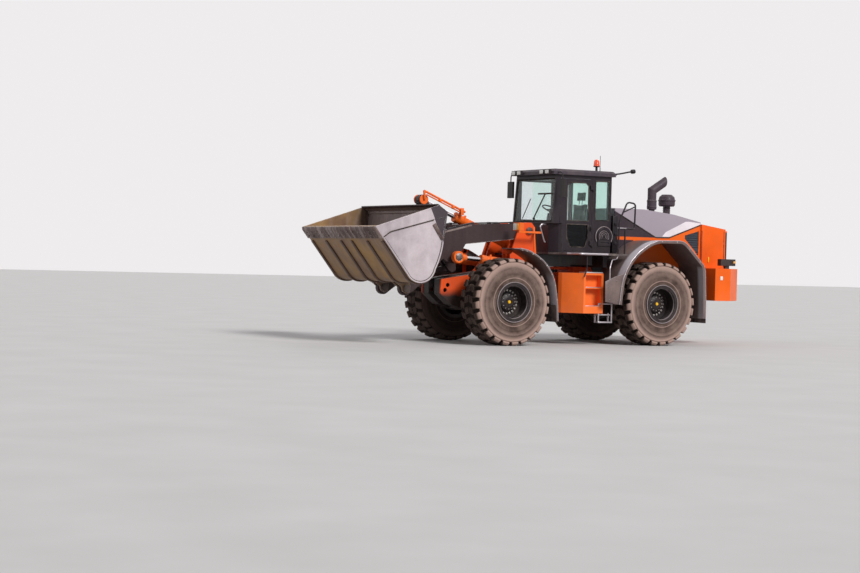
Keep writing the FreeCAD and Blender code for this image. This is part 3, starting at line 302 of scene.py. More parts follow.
def paint_over(tree, colour, dust=0.5, height=1.6, wear=0.6, rough=0.42, bare=BARE, radius=0.008,
               earth=DUST_COLOUR, patch=2.0, grain=0.0012, coat=0.04, metal=0.0, low=0.0):
    """A painted skin over colour, which is a colour or a socket, with dust, streaks and worn edges.
    Below the height low it turns dark brown.
    """
    where = object_place(tree)
    cloud = spread(tree, noise(tree, where, 1.3, 5.0), 0.35, 0.65)
    if isinstance(colour, tuple):
        faded = blend_colours(tree, cloud, scaled(colour, 0.86), scaled(colour, 1.1))
    else:
        faded = put(tree, "Mix", {0: product(tree, cloud, 0.22), 6: colour, 7: (0.75, 0.72, 0.70, 1)},
                    data_type="RGBA", blend_type="MULTIPLY").outputs[2]
    streak = use(tree, STREAKS, Contrast=0.30)["Mask"]
    washed = blend_colours(tree, product(tree, streak, dust), faded, earth)
    film = use(tree, DUST, Amount=dust, Height=height, Patch=patch)["Mask"]
    dusty = blend_colours(tree, film, washed, earth)
    if low:
        z = axes(tree, where)["Z"]
        line = sum_of(tree, z, product(tree, noise(tree, where, 4.0, 5.0), -0.12))
        dusty = blend_colours(tree, spread(tree, line, low - 0.14, low), rgb(58, 46, 42), dusty)
    edge = use(tree, EDGES, Radius=radius, Wear=wear)
    worn = blend_colours(tree, edge["Mask"], dusty, bare)
    skin = use(tree, GRAIN, Size=120.0, Depth=1.0)["Height"]
    bump = bumped(tree, 0.35, grain, sum_of(tree, skin, film), edge["Normal"])
    close_material(tree, {"Base Color": worn, "Roughness": spread(tree, film, 0.0, 0.8, rough, 0.88),
                          "Metallic": metal, "Normal": bump, "Coat Weight": coat,
                          "Specular IOR Level": 0.22})


def painted(name, colour, **values):
    material, tree = new_material(name)
    paint_over(tree, colour, **values)
    return material


def hood_paint():
    """Grey upper panels, orange behind and dark in front below the slanting edges, with the dark
    panel of the side grille.
    """
    material, tree = new_material("hood_paint")
    place = axes(tree, object_place(tree))

    def under(x, z, slope):
        return use(tree, UNDER, X=x + HINGE_X, Z=z, Slope=slope)["Mask"]

    def behind(x):
        return maths(tree, "LESS_THAN", place["X"], x + HINGE_X)

    def above(z):
        return maths(tree, "GREATER_THAN", place["Z"], z)

    slopes = sum_of(tree, under(-1.25, 2.664, 0.478), under(-2.52, 2.228, -0.352))
    slopes = sum_of(tree, slopes, under(0.0, 2.222, 0.0))
    side = maths(tree, "GREATER_THAN", maths(tree, "ABSOLUTE", place["Y"]), HOOD_Y - 0.02)
    lower = product(tree, maths(tree, "GREATER_THAN", slopes, 0.5), side)
    strip = product(tree, under(0.0, 2.205, 0.0), above(2.140))
    arch = product(tree, behind(-1.6), maths(tree, "LESS_THAN", place["Z"], 2.145))
    bright = maths(tree, "MAXIMUM", behind(-2.3), sum_of(tree, strip, arch))
    below = blend_colours(tree, bright, rgb(52, 42, 50), rgb(236, 100, 20))
    grille = product(tree, behind(-2.935), maths(tree, "GREATER_THAN", place["X"], -3.296 + HINGE_X))
    grille = product(tree, grille, product(tree, under(-2.93, 2.272, -0.27), above(1.79)))
    corner = spread(tree, under(-3.16, 1.99, 0.9348), 0.0, 1.0, 1.0, 0.0)
    grille = product(tree, product(tree, grille, corner), side)
    below = blend_colours(tree, grille, below, rgb(52, 58, 68))
    paint_over(tree, blend_colours(tree, lower, rgb(160, 150, 160), below), dust=0.14, wear=0.2,
               height=1.9, rough=0.36)
    return material


def fender_paint_and_highlight():
    """Dull grey, with a painted highlight along the outer edge of what faces up and forward."""
    material, tree = new_material("fender_paint_and_highlight")
    normal = axes(tree, face_normal(tree))
    wide = maths(tree, "ABSOLUTE", axes(tree, object_place(tree))["Y"])
    outer = spread(tree, wide, FENDER_Y - 0.26, FENDER_Y - 0.20)
    lit_side = spread(tree, sum_of(tree, normal["X"], normal["Z"]), 0.3, 0.7)
    # Painted highlight: pale grey on the outer band where it faces up and forward.
    colour = blend_colours(tree, product(tree, outer, lit_side), rgb(104, 88, 86), rgb(188, 182, 188))
    paint_over(tree, colour, dust=0.45, height=2.0, wear=0.7)
    return material


def bucket_paint():
    """Bare scraped steel on the side plates, dark paint behind, brown scraped floor below."""
    material, tree = new_material("bucket_steel")
    where = object_place(tree)
    place = axes(tree, where)
    side = maths(tree, "GREATER_THAN", maths(tree, "ABSOLUTE", place["Y"]), BUCKET_Y - 0.02)
    patch = spread(tree, noise(tree, where, 1.6, 6.0, 0.6), 0.35, 0.65)
    scrape = use(tree, STREAKS, Deep=7.0, Across=16.0, Along=2.6, Contrast=1.0)["Mask"]
    plate = blend_colours(tree, patch, rgb(158, 146, 151), rgb(190, 178, 182))
    plate = blend_colours(tree, product(tree, scrape, 0.3), plate, rgb(216, 206, 208))
    floor_share = spread(tree, place["X"], 3.42 + HINGE_X, 4.0 + HINGE_X)
    floor_share = product(tree, floor_share, spread(tree, patch, 0.0, 1.0, 0.75, 1.0))
    ahead = axes(tree, face_normal(tree))["X"]
    back = blend_colours(tree, spread(tree, ahead, 0.0, 0.3), rgb(50, 42, 46), rgb(112, 101, 102))
    olive = blend_colours(tree, patch, rgb(128, 96, 74), rgb(160, 124, 72))
    rest = blend_colours(tree, floor_share, back, olive)
    rest = blend_colours(tree, product(tree, scrape, 0.45), rest, rgb(160, 143, 134))
    worn_side = use(tree, UNDER, X=3.695 + HINGE_X, Z=2.494, Slope=2.165)["Mask"]
    plate = blend_colours(tree, worn_side, rgb(58, 48, 55), plate)
    colour = blend_colours(tree, side, rest, plate)
    edge = use(tree, EDGES, Radius=0.014, Wear=1.0)
    colour = blend_colours(tree, edge["Mask"], colour, rgb(214, 205, 205))
    film = use(tree, DUST, Amount=0.35, Height=2.0, Patch=3.0)["Mask"]
    colour = blend_colours(tree, film, colour, EARTH)
    dent = noise(tree, where, 2.2, 3.0)
    height = sum_of(tree, product(tree, dent, 3.0), product(tree, scrape, 0.25))
    bump = bumped(tree, 0.5, 0.005, height, edge["Normal"])
    close_material(tree, {"Base Color": colour, "Metallic": 0.25, "Normal": bump,
                          "Roughness": spread(tree, patch, 0.0, 1.0, 0.42, 0.62)})
    return material


def scuffed_steel():
    """Dark cutting edge with pale scuffs that run from the lip back."""
    material, tree = new_material("edge_steel")
    where = object_place(tree)
    scuff = use(tree, STREAKS, Deep=1.6, Across=11.0, Along=1.6, Contrast=1.0)["Mask"]
    patch = spread(tree, noise(tree, where, 2.6, 5.0), 0.35, 0.65)
    colour = blend_colours(tree, patch, rgb(74, 57, 54), rgb(108, 88, 82))
    colour = blend_colours(tree, product(tree, scuff, 0.75), colour, rgb(186, 170, 164))
    edge = use(tree, EDGES, Radius=0.014, Wear=1.0)
    colour = blend_colours(tree, edge["Mask"], colour, rgb(200, 190, 188))
    bump = bumped(tree, 0.4, 0.003, scuff, edge["Normal"])
    close_material(tree, {"Base Color": colour, "Metallic": 0.3, "Normal": bump,
                          "Roughness": spread(tree, scuff, 0.0, 1.0, 0.6, 0.4)})
    return material


def rubber(name, colour, dust, tread=False):
    """Worn rubber with earth on its high places. A tread gets painted shade in its grooves and on its
    inner side, and painted highlight rings.
    """
    material, tree = new_material(name)
    where = object_place(tree)
    patch = spread(tree, noise(tree, where, 5.0, 8.0, 0.65), 0.36, 0.66)
    fine = noise(tree, where, 85.0, 4.0, 0.7)
    base = blend_colours(tree, patch, scaled(colour, 0.72), scaled(colour, 1.2))
    edge = use(tree, EDGES, Radius=0.012, Wear=0.75)
    base = blend_colours(tree, product(tree, patch, dust), base, rgb(150, 131, 118))
    base = blend_colours(tree, edge["Mask"], base, rgb(188, 170, 158))
    if tread:
        painted_lighting = put(tree, "Attribute", attribute_name="painted_lighting").outputs["Fac"]
        pale = put(tree, "Attribute", attribute_name="pale").outputs["Fac"]
        # Painted highlight: paler rings and shoulder on the side walls.
        base = blend_colours(tree, product(tree, pale, 0.85), base, rgb(172, 145, 134))
        # Painted shade: the tread darkens where painted_lighting is low.
        base = blend_colours(tree, painted_lighting, scaled(colour, 0.18), base)
    height = sum_of(tree, product(tree, patch, 0.8), fine)
    bump = bumped(tree, 0.6, 0.003, height, edge["Normal"])
    close_material(tree, {"Base Color": base, "Normal": bump, "Specular IOR Level": 0.15,
                          "Roughness": spread(tree, fine, 0.3, 0.7, 0.78, 0.96)})
    return material


def bright_steel(name, colour, rough, metal=1.0, dirt=0.25):
    """Bare or plated steel with a little oil and dust."""
    material, tree = new_material(name)
    where = object_place(tree)
    smear = spread(tree, noise(tree, where, 12.0, 5.0), 0.42, 0.7)
    colour = blend_colours(tree, product(tree, smear, dirt), colour, scaled(colour, 0.35))
    edge = use(tree, EDGES, Radius=0.004, Wear=0.0)
    grain = use(tree, GRAIN, Size=160.0, Depth=0.6)["Height"]
    bump = bumped(tree, 0.15, 0.001, grain, edge["Normal"])
    close_material(tree, {"Base Color": colour, "Metallic": metal, "Normal": bump,
                          "Roughness": spread(tree, smear, 0.0, 1.0, rough, rough + 0.25)})
    return material


def window_glass(name, colour, low_colour):
    """Tinted pane with a trace of dust, clear in the windscreen and of low_colour under the sill."""
    material, tree = new_material(name)
    where = object_place(tree)
    place = axes(tree, where)
    film = spread(tree, noise(tree, where, 1.5, 3.0), 0.4, 0.8, 0.0, 0.04)
    front = spread(tree, place["X"], -0.02 + HINGE_X, 0.02 + HINGE_X)
    tint = blend_colours(tree, front, colour, rgb(244, 250, 250))
    tint = blend_colours(tree, spread(tree, place["Z"], 2.44, 2.45), low_colour, tint)
    tint = blend_colours(tree, film, tint, rgb(200, 192, 185))
    close_material(tree, {"Base Color": tint, "Metallic": 0.0, "Transmission Weight": 0.96,
                          "IOR": 1.2, "Roughness": spread(tree, film, 0.0, 0.04, 0.0, 0.03)})
    return material


def lens(name, colour, glow=0.0):
    """Moulded lens with fine ribs under its skin."""
    material, tree = new_material(name)
    where = object_place(tree)
    ribs = put(tree, "TexWave", {"Vector": where, "Scale": 42.0, "Distortion": 0.0},
               wave_type="BANDS", bands_direction="Z").outputs["Fac"]
    colour_now = blend_colours(tree, spread(tree, ribs, 0.2, 0.8), scaled(colour, 0.7), colour)
    bump = bumped(tree, 0.4, 0.002, ribs)
    close_material(tree, {"Base Color": colour_now, "Roughness": spread(tree, ribs, 0.0, 1.0, 0.1, 0.2),
                          "Normal": bump, "Coat Weight": 0.6, "Emission Color": colour_now,
                          "Emission Strength": glow})
    return material


def cushion_cloth(name, colour):
    """Woven seat cover, a fine weave over slow shading."""
    material, tree = new_material(name)
    where = object_place(tree)
    warp = put(tree, "TexWave", {"Vector": where, "Scale": 260.0, "Distortion": 0.6},
               bands_direction="X").outputs["Fac"]
    weft = put(tree, "TexWave", {"Vector": where, "Scale": 260.0, "Distortion": 0.6},
               bands_direction="Z").outputs["Fac"]
    weave = product(tree, warp, weft)
    worn = spread(tree, noise(tree, where, 7.0, 5.0), 0.38, 0.7)
    colour_now = blend_colours(tree, weave, scaled(colour, 0.8), scaled(colour, 1.25))
    colour_now = blend_colours(tree, product(tree, worn, 0.08), colour_now, DUST_COLOUR)
    bump = bumped(tree, 0.5, 0.001, weave)
    close_material(tree, {"Base Color": colour_now, "Roughness": spread(tree, weave, 0, 1, 0.8, 0.95),
                          "Normal": bump, "Sheen Weight": 0.3})
    return material


FINISH = {}


def look(make, name, red, green, blue, **values):
    """A material of its own name and colour."""
    FINISH[name] = make(name, rgb(red, green, blue), **values)


look(rubber, "tyre_rubber", 84, 67, 61, dust=0.30, tread=True)
look(rubber, "flap_rubber", 70, 60, 62, dust=0.45)
look(painted, "rim_paint", 36, 29, 31, dust=0.14, height=1.6, wear=0.4)
look(painted, "rim_edge", 150, 138, 140, dust=0.3, height=1.6, wear=0.3)
look(painted, "axle_paint", 36, 29, 32, dust=0.5, height=1.6)
look(painted, "frame_orange", 226, 78, 20, dust=0.30, height=1.7, wear=0.5, earth=EARTH, low=1.0)
FINISH["fender_paint_and_highlight"] = fender_paint_and_highlight()
look(painted, "boom_paint", 56, 42, 44, dust=0.10, height=2.0, wear=0.8)
look(bright_steel, "pin_steel", 120, 112, 110, rough=0.42, metal=0.8, dirt=0.7)
look(painted, "old_steel", 60, 50, 50, dust=0.5, height=2.0, wear=0.8, metal=0.3)
look(bright_steel, "bolt_steel", 196, 190, 186, rough=0.32)
FINISH["bucket_steel"] = bucket_paint()
FINISH["edge_steel"] = scuffed_steel()
look(painted, "strip_steel", 84, 62, 52, dust=0.4, height=2.4, wear=1.0, metal=0.2)
look(painted, "cylinder_orange", 237, 104, 26, dust=0.25, height=2.0, wear=0.3)
look(bright_steel, "rod_chrome", 222, 222, 226, rough=0.08, dirt=0.1)
# Dark paint; on the front frame it also stands as painted shade.
look(painted, "frame_dark", 30, 23, 26, dust=0.25, height=1.5)
look(painted, "counterweight_paint", 236, 96, 10, dust=0.16, height=1.5, wear=0.6)
look(painted, "engine_grey", 70, 66, 68, dust=0.6, rough=0.6)
FINISH["hood_grey"] = hood_paint()
look(painted, "white_paint", 226, 218, 222, dust=0.2, height=2.4, wear=0.2)
look(painted, "tail_orange", 236, 92, 4, dust=0.12, height=1.7, wear=0.35)
# A lighter copy of the tail's orange, as painted highlight on the tanks.
look(painted, "tank_orange", 244, 112, 40, dust=0.2, height=1.3, wear=0.5)
look(painted, "grille_dark", 34, 32, 38, dust=0.45, height=2.4, wear=0.3)
look(painted, "stack_dark", 66, 56, 64, dust=0.15, height=3.0, rough=0.5)
look(painted, "deck_dark", 56, 50, 54, dust=0.8, height=2.6, wear=0.9)
look(bright_steel, "rail_steel", 180, 172, 176, rough=0.35, metal=0.8)
look(painted, "rail_black", 30, 25, 30, dust=0.08, height=2.0, wear=0.3)
look(painted, "cab_dark", 38, 31, 38, dust=0.12, height=2.2, wear=0.3, rough=0.32)
look(painted, "roof_paint", 66, 58, 66, dust=0.3, height=3.0, wear=0.3)
FINISH["cab_glass"] = window_glass("cab_glass", rgb(226, 248, 242), rgb(90, 92, 98))
look(rubber, "seal_rubber", 24, 22, 24, dust=0.15)
look(cushion_cloth, "chair_black", 38, 36, 42)
look(painted, "console_black", 34, 32, 36, dust=0.2, height=1.0, wear=0.0, rough=0.55)
look(painted, "lamp_body", 34, 30, 34, dust=0.3, height=3.0, wear=0.3)
look(lens, "lamp_clear", 232, 232, 226, glow=0.05)
look(lens, "lamp_red", 206, 26, 20, glow=0.1)
look(lens, "lamp_amber", 252, 168, 20, glow=0.15)
look(lens, "beacon_amber", 244, 74, 10, glow=0.1)
look(painted, "mirror_black", 30, 27, 30, dust=0.2, height=3.0, wear=0.2)
look(bright_steel, "mirror_face", 200, 206, 212, rough=0.03, dirt=0.05)
look(painted, "yellow_paint", 240, 184, 26, dust=0.15, wear=0.2)

NODES_OF = {
    "axle_paint": "front_axle rear_axle",
    # The front frame takes this dark finish as painted shade inside it.
    "frame_dark": "drive_shaft_front drive_shaft_rear front_frame cross_beams",
    "frame_orange": "towers tower_cheeks rear_rails rear_frame",
    "fender_paint_and_highlight": "front_fenders rear_fenders steps",
    "cylinder_orange": "head_lamps lift_barrels tilt_barrel steer_barrel_left steer_barrel_right",
    "boom_paint": "boom bell_crank bucket_link",
    "old_steel": "bucket_pins",
    "pin_steel": "crank_pin link_pin tilt_pin",
    "bucket_steel": "bucket",
    "edge_steel": "bucket_edge",
    "rod_chrome": "lift_rods tilt_rod steer_rod_left steer_rod_right",
    "counterweight_paint": "counterweight",
    "engine_grey": "engine_block",
    "hood_grey": "hood",
    "tail_orange": "rear_housing",
    "grille_dark": "rear_grille",
    "stack_dark": "exhaust_stack pre_cleaner",
    "tank_orange": "tanks",
    "deck_dark": "platform",
    "rail_black": "handrails",
    "cab_dark": "cab_shell cab_door",
    "cab_glass": "cab_glass door_glass",
    "roof_paint": "cab_roof",
    "console_black": "operator_chair steering_console",
    "lamp_body": "work_lamps tail_lamps",
    "beacon_amber": "beacon",
    "mirror_black": "mirrors",
    "rim_paint": "rim_front_left rim_front_right rim_rear_left rim_rear_right",
    "tyre_rubber": "tyre_front_left tyre_front_right tyre_rear_left tyre_rear_right",
}


def dress_nodes():
    for finish_name, names in NODES_OF.items():
        for name in names.split():
            for place in nodes[name].material_slots:
                place.material = FINISH[finish_name]


# Shapes, all made with mesh operators
def round_edges(bm, verts, width, sharp=30):
    """Rounds the edges of these vertices that turn by more than sharp degrees."""
    if not width:
        return
    mine = {edge for vert in verts if vert.is_valid for edge in vert.link_edges}
    turned = [edge for edge in mine if len(edge.link_faces) == 2
              and edge.calc_face_angle(0.0) > math.radians(sharp)]
    bmesh.ops.bevel(bm, geom=turned, offset=width, affect="EDGES", segments=2, profile=0.5,
                    material=-1)


def block(bm, low, high, edge=0.004, turn=0.0, about="Y"):
    """Block between two corners, turned by degrees about its own middle."""
    low, high = Vector(low), Vector(high)
    size = high - low
    place = (Matrix.Translation((low + high) / 2) @ Matrix.Rotation(math.radians(turn), 4, about)
             @ Matrix.Diagonal((size.x, size.y, size.z, 1.0)))
    made = bmesh.ops.create_cube(bm, size=1.0, matrix=place)
    round_edges(bm, made["verts"], edge)


def bar(bm, start, end, radius, sides=20, edge=0.0, end_radius=None):
    start, end = Vector(start), Vector(end)
    run = end - start
    place = Matrix.Translation((start + end) / 2) @ run.to_track_quat("Z", "Y").to_matrix().to_4x4()
    made = bmesh.ops.create_cone(bm, cap_ends=True, segments=sides, radius1=radius,
                                 radius2=radius if end_radius is None else end_radius,
                                 depth=run.length, matrix=place)
    round_edges(bm, made["verts"], edge, sharp=50)


def extrude_face(bm, verts, move, edge):
    face = bm.faces.new(verts)
    made = bmesh.ops.extrude_face_region(bm, geom=[face])
    new = [item for item in made["geom"] if isinstance(item, bmesh.types.BMVert)]
    bmesh.ops.translate(bm, verts=new, vec=move)
    bmesh.ops.recalc_face_normals(bm, faces=list({f for v in new + verts for f in v.link_faces}))
    round_edges(bm, verts + new, edge)


def plate(bm, outline, y0, y1, edge=0.003):
    """Side outline (x, z) made a plate from y0 to y1."""
    extrude_face(bm, [bm.verts.new((x, y0, z)) for x, z in outline], (0, y1 - y0, 0), edge)


def lathe(bm, outline, centre, axis, sides=48, closed=True):
    """Turns an outline of (place along the axis, radius) about the axis through centre."""
    axis, centre = Vector(axis).normalized(), Vector(centre)
    up = axis.orthogonal().normalized()
    verts = [bm.verts.new(centre + axis * along + up * radius) for along, radius in outline]
    ends = verts + [verts[0]] if closed else verts
    edges = [bm.edges.new(pair) for pair in zip(ends, ends[1:])]
    bmesh.ops.spin(bm, geom=verts + edges, cent=centre, axis=axis, angle=math.tau, steps=sides,
                   use_merge=True)
    bmesh.ops.remove_doubles(bm, verts=bm.verts[:], dist=0.00002)


def tube(bm, points, radius, sides=12, bend=0.05):
    """Round bar along corner points, its corners rounded by a bevelled curve."""
    curve = bpy.data.curves.new("tube_path", "CURVE")
    curve.dimensions = "3D"
    line = curve.splines.new("BEZIER")
    points = [Vector(p) for p in points]
    path = [points[0]]
    for a, b, c in zip(points, points[1:], points[2:]):
        reach = min(bend, (a - b).length * 0.45, (c - b).length * 0.45)
        path += [b + (a - b).normalized() * reach, b + (c - b).normalized() * reach]
    path.append(points[-1])
    line.bezier_points.add(len(path) - 1)
    for i, (spot, p) in enumerate(zip(line.bezier_points, path)):
        spot.co = p
        before, after = path[max(i - 1, 0)], path[min(i + 1, len(path) - 1)]
        corner_next = i % 2 == 1
        spot.handle_left_type = spot.handle_right_type = "FREE"
        short = (after - p).length * 0.5 if corner_next else (p - before).length * 0.5
        ahead = (p - before).normalized() if corner_next else (after - p).normalized()
        spot.handle_left = p - ahead * short
        spot.handle_right = p + ahead * short
    curve.resolution_u = 6
    curve.bevel_depth = radius
    curve.bevel_resolution = max(sides // 4 - 1, 1)
    curve.use_fill_caps = True
    holder = bpy.data.objects.new("tube_path", curve)
    bpy.context.scene.collection.objects.link(holder)
    bpy.context.view_layer.update()
    mesh = bpy.data.meshes.new_from_object(holder.evaluated_get(bpy.context.evaluated_depsgraph_get()))
    bm.from_mesh(mesh)
    bpy.data.objects.remove(holder)
    bpy.data.curves.remove(curve)
    bpy.data.meshes.remove(mesh)
    bmesh.ops.remove_doubles(bm, verts=bm.verts[:], dist=0.00002)


def bolt(bm, place, out, size=0.014):
    """Hexagon head on a washer, standing on place and pointing out."""
    place, out = Vector(place), Vector(out).normalized()
    bar(bm, place, place + out * size * 0.25, size * 1.25, sides=14)
    bar(bm, place + out * size * 0.2, place + out * size * 0.9, size, sides=6)


def ring_of(count, radius, centre, start=0.0):
    """Places round a centre in the side view."""
    cx, cy, cz = centre
    for i in range(count):
        angle = start + math.tau * i / count
        yield (cx + radius * math.cos(angle), cy, cz + radius * math.sin(angle))


ROUND_POINTS = 7


def rounded(line, reach):
    """Side line whose inner corners are rounded, each from its own reach before it to after it."""
    path = [Vector(line[0])]
    for before, corner, after, far in zip(line, line[1:], line[2:], reach):
        a, b, c = Vector(before), Vector(corner), Vector(after)
        far = min(far, 0.49 * (a - b).length, 0.49 * (c - b).length)
        first, last = b + (a - b).normalized() * far, b + (c - b).normalized() * far
        for i in range(ROUND_POINTS):
            t = i / (ROUND_POINTS - 1)
            path.append(first.lerp(b, t).lerp(b.lerp(last, t), t))
    path.append(Vector(line[-1]))
    return path


def inset(path, by):
    """Side path moved to the right of the way that it runs."""
    moved = []
    for i, point in enumerate(path):
        run = (path[min(i + 1, len(path) - 1)] - path[max(i - 1, 0)]).normalized()
        moved.append(point + Vector((run.y, -run.x)) * by)
    return moved


def bent_sheet(bm, path, thick, y0, y1, edge=0.003):
    """Sheet along a side path, with its thickness to the right of the way that the path runs."""
    plate(bm, [tuple(p) for p in path + inset(path, thick)[::-1]], y0, y1, edge)


def arc(a, b, c, steps=10):
    """Places on the circle through three points of the side view, from a to c."""
    a, b, c = Vector(a), Vector(b), Vector(c)
    spin = 2 * (a.x * (b.y - c.y) + b.x * (c.y - a.y) + c.x * (a.y - b.y))
    x = (a.dot(a) * (b.y - c.y) + b.dot(b) * (c.y - a.y) + c.dot(c) * (a.y - b.y)) / spin
    y = (a.dot(a) * (c.x - b.x) + b.dot(b) * (a.x - c.x) + c.dot(c) * (b.x - a.x)) / spin
    middle = Vector((x, y))
    turn = (a - middle).angle_signed(c - middle)
    return [middle + Matrix.Rotation(-turn * i / steps, 2) @ (a - middle) for i in range(steps + 1)]


def join(bm, other):
    """Adds what another mesh holds, and frees it."""
    holder = bpy.data.meshes.new("holder")
    other.to_mesh(holder)
    other.free()
    bm.from_mesh(holder)
    bpy.data.meshes.remove(holder)


def copy_to_right(bm):
    bmesh.ops.mirror(bm, geom=bm.verts[:] + bm.edges[:] + bm.faces[:], merge_dist=-1.0, axis="Y")


def finish(bm, name, finish_name, body, both=False, move=None, smooth=35, replaced=()):
    """Makes the mesh a piece that rides on a body, with its finish."""
    if both:
        copy_to_right(bm)
    bmesh.ops.translate(bm, verts=bm.verts[:], vec=move or (HINGE_X, 0, 0))
    bmesh.ops.recalc_face_normals(bm, faces=bm.faces[:])
    mesh = bpy.data.meshes.new(name)
    bm.to_mesh(mesh)
    bm.free()
    mesh.shade_smooth()
    mesh.set_sharp_from_angle(angle=math.radians(smooth))
    mesh.materials.append(FINISH[finish_name])
    piece = bpy.data.objects.new(name, mesh)
    bpy.context.scene.collection.objects.link(piece)
    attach(piece, body)
    if replaced:
        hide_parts(*replaced)
    return piece


# Wheels
LUGS, LUG_HEIGHT, LUG_WIDTH = 24, 0.036, 0.145
SHOULDER = TYRE_HALF - 0.105
# Painted highlight rings on the side wall: from one radius to another, and how bright
HIGHLIGHT_RINGS = ((0.460, 0.473, 0.7), (0.625, 0.640, 0.3))
WHEELS = ("front_left", "front_right", "rear_left", "rear_right")


def tread_lug(bm, inner, outer, angle, lean):
    """One lug at the top of the tyre, leaning in plan, turned to its place round the axle."""
    top = math.sqrt(TYRE_R ** 2 - (LUG_WIDTH / 2) ** 2)
    low = TYRE_R - LUG_HEIGHT - 0.03
    if outer > SHOULDER:
        outline = [(inner, low), (inner, top), (outer - 0.085, top), (outer - 0.045, top - 0.011),
                   (outer - 0.014, 0.802), (outer - 0.010, 0.784), (outer - 0.046, 0.764)]
    else:
        outline = [(inner, low), (inner, top), (outer, top), (outer, low)]
    before = set(bm.verts)
    verts = [bm.verts.new((-LUG_WIDTH / 2, y, z)) for y, z in outline]
    extrude_face(bm, verts, (LUG_WIDTH, 0, 0), 0.007)
    new = [vert for vert in bm.verts if vert not in before]
    middle = (inner + outer) / 2
    for vert in new:
        vert.co.x += (vert.co.y - middle) * lean
        narrow = 1.0 - 0.10 * (vert.co.z - low) / (top - low) if vert.co.z > low else 1.0
        vert.co.x *= narrow
    bmesh.ops.rotate(bm, verts=new, cent=(0, 0, 0), matrix=Matrix.Rotation(angle, 3, "Y"))


def tyre_shape(bm):
    """Carcass and lugs, with painted shade (tread face, grooves, inner side wall) and painted highlight
    rings written to the vertices.
    """
    w, r = TYRE_HALF, TYRE_R
    half = [(w - 0.060, 0.335), (w - 0.026, 0.370), (w - 0.018, 0.400), (w - 0.006, 0.455),
            (w - 0.001, 0.462), (w - 0.001, 0.472), (w - 0.005, 0.479), (w - 0.001, 0.545),
            (w + 0.003, 0.552), (w + 0.003, 0.562), (w - 0.001, 0.569), (w - 0.004, 0.628),
            (w + 0.001, 0.636), (w + 0.001, 0.652), (w - 0.006, 0.660), (w - 0.012, 0.700),
            (w - 0.020, 0.734), (w - 0.017, 0.742), (w - 0.018, 0.754), (w - 0.028, 0.764),
            (w - 0.050, 0.782),
            (SHOULDER, r - LUG_HEIGHT - 0.008), (0.150, r - LUG_HEIGHT)]
    bore = [(w - 0.09, 0.335), (w - 0.09, 0.42), (w - 0.06, 0.56), (w - 0.085, 0.69), (w - 0.15, 0.74)]
    outline = [(-t, radius) for t, radius in half] + half[::-1]
    outline += bore + [(-t, radius) for t, radius in bore[::-1]]
    lathe(bm, outline, (0, 0, 0), (0, 1, 0), sides=96)
    step = math.tau / LUGS
    first = math.asin(LUG_WIDTH / 2 / r)
    for i in range(LUGS):
        for side in LEFT_RIGHT:
            for inner, outer, shift, lean in ((0.014, 0.138, 0.5, 0.30), (0.160, w, 0.0, -0.16)):
                one = bmesh.new()
                tread_lug(one, inner, outer, first + (i + shift) * step, lean)
                if side < 0:
                    bmesh.ops.scale(one, vec=(1, -1, 1), verts=one.verts[:])
                bmesh.ops.recalc_face_normals(one, faces=one.faces[:])
                join(bm, one)
    painted_lighting = bm.verts.layers.float.new("painted_lighting")
    pale = bm.verts.layers.float.new("pale")
    # painted_lighting is painted shade: below 1 on the tread face, lowest at the bottom of the grooves,
    # and 0.22 on the inner side wall.
    for vert in bm.verts:
        radius = math.hypot(vert.co.x, vert.co.z)
        depth = (radius - (r - LUG_HEIGHT - 0.002)) / LUG_HEIGHT
        tread = min(max(depth * 1.2, 0.0), 1.0) * 0.52
        side = 1.0 if vert.co.y > 0 else 0.22
        on_side = abs(vert.co.y) >= w - 0.045
        vert[painted_lighting] = side if on_side else tread
        # Painted highlight: pale rings, and a shoulder that grows paler outwards, on both side walls.
        ring_highlight = max([share for low, high, share in HIGHLIGHT_RINGS if low <= radius <= high], default=0.0)
        shoulder_highlight = min(max((radius - 0.65) / 0.08, 0.0), 1.0)
        vert[pale] = max(ring_highlight, shoulder_highlight) if on_side else 0.0


def face_rings(bm):
    """Lock rings and the pale lip of the rim, outward side at +Y."""
    w = TYRE_HALF
    for outline in (((w + 0.003, 0.394), (w + 0.012, 0.390), (w + 0.012, 0.380), (w + 0.003, 0.377)),
                    ((w - 0.026, 0.321), (w - 0.026, 0.311), (w - 0.052, 0.311), (w - 0.052, 0.321))):
        lathe(bm, outline, (0, 0, 0), (0, 1, 0), sides=72)


def face_bolts(bm):
    """Wheel nuts on the dish and the screws round the hub's cap."""
    for place in ring_of(20, 0.228, (0, 0.060, 0)):
        bolt(bm, place, (0, 1, 0), 0.016)
    for place in ring_of(12, 0.136, (0, 0.135, 0)):
        bolt(bm, place, (0, 1, 0), 0.008)
    bar(bm, (0.0, 0.06, 0.292), (0.0, 0.13, 0.300), 0.006, 12)


def face_cap(bm):
    """The hub's plug."""
    lathe(bm, [(0.144, 0.0), (0.144, 0.034), (0.163, 0.030), (0.166, 0.0)], (0, 0, 0), (0, 1, 0),
          sides=24, closed=False)


def hub_plate(bm):
    """Hub end with its ring of drain bosses."""
    lathe(bm, [(0.055, 0.198), (0.075, 0.198), (0.082, 0.190), (0.082, 0.180)], (0, 0, 0), (0, 1, 0),
          sides=60, closed=False)
    for place in ring_of(3, 0.070, (0, 0.150, 0), 0.5):
        bar(bm, place, (place[0], 0.160, place[2]), 0.015, 16, 0.002)


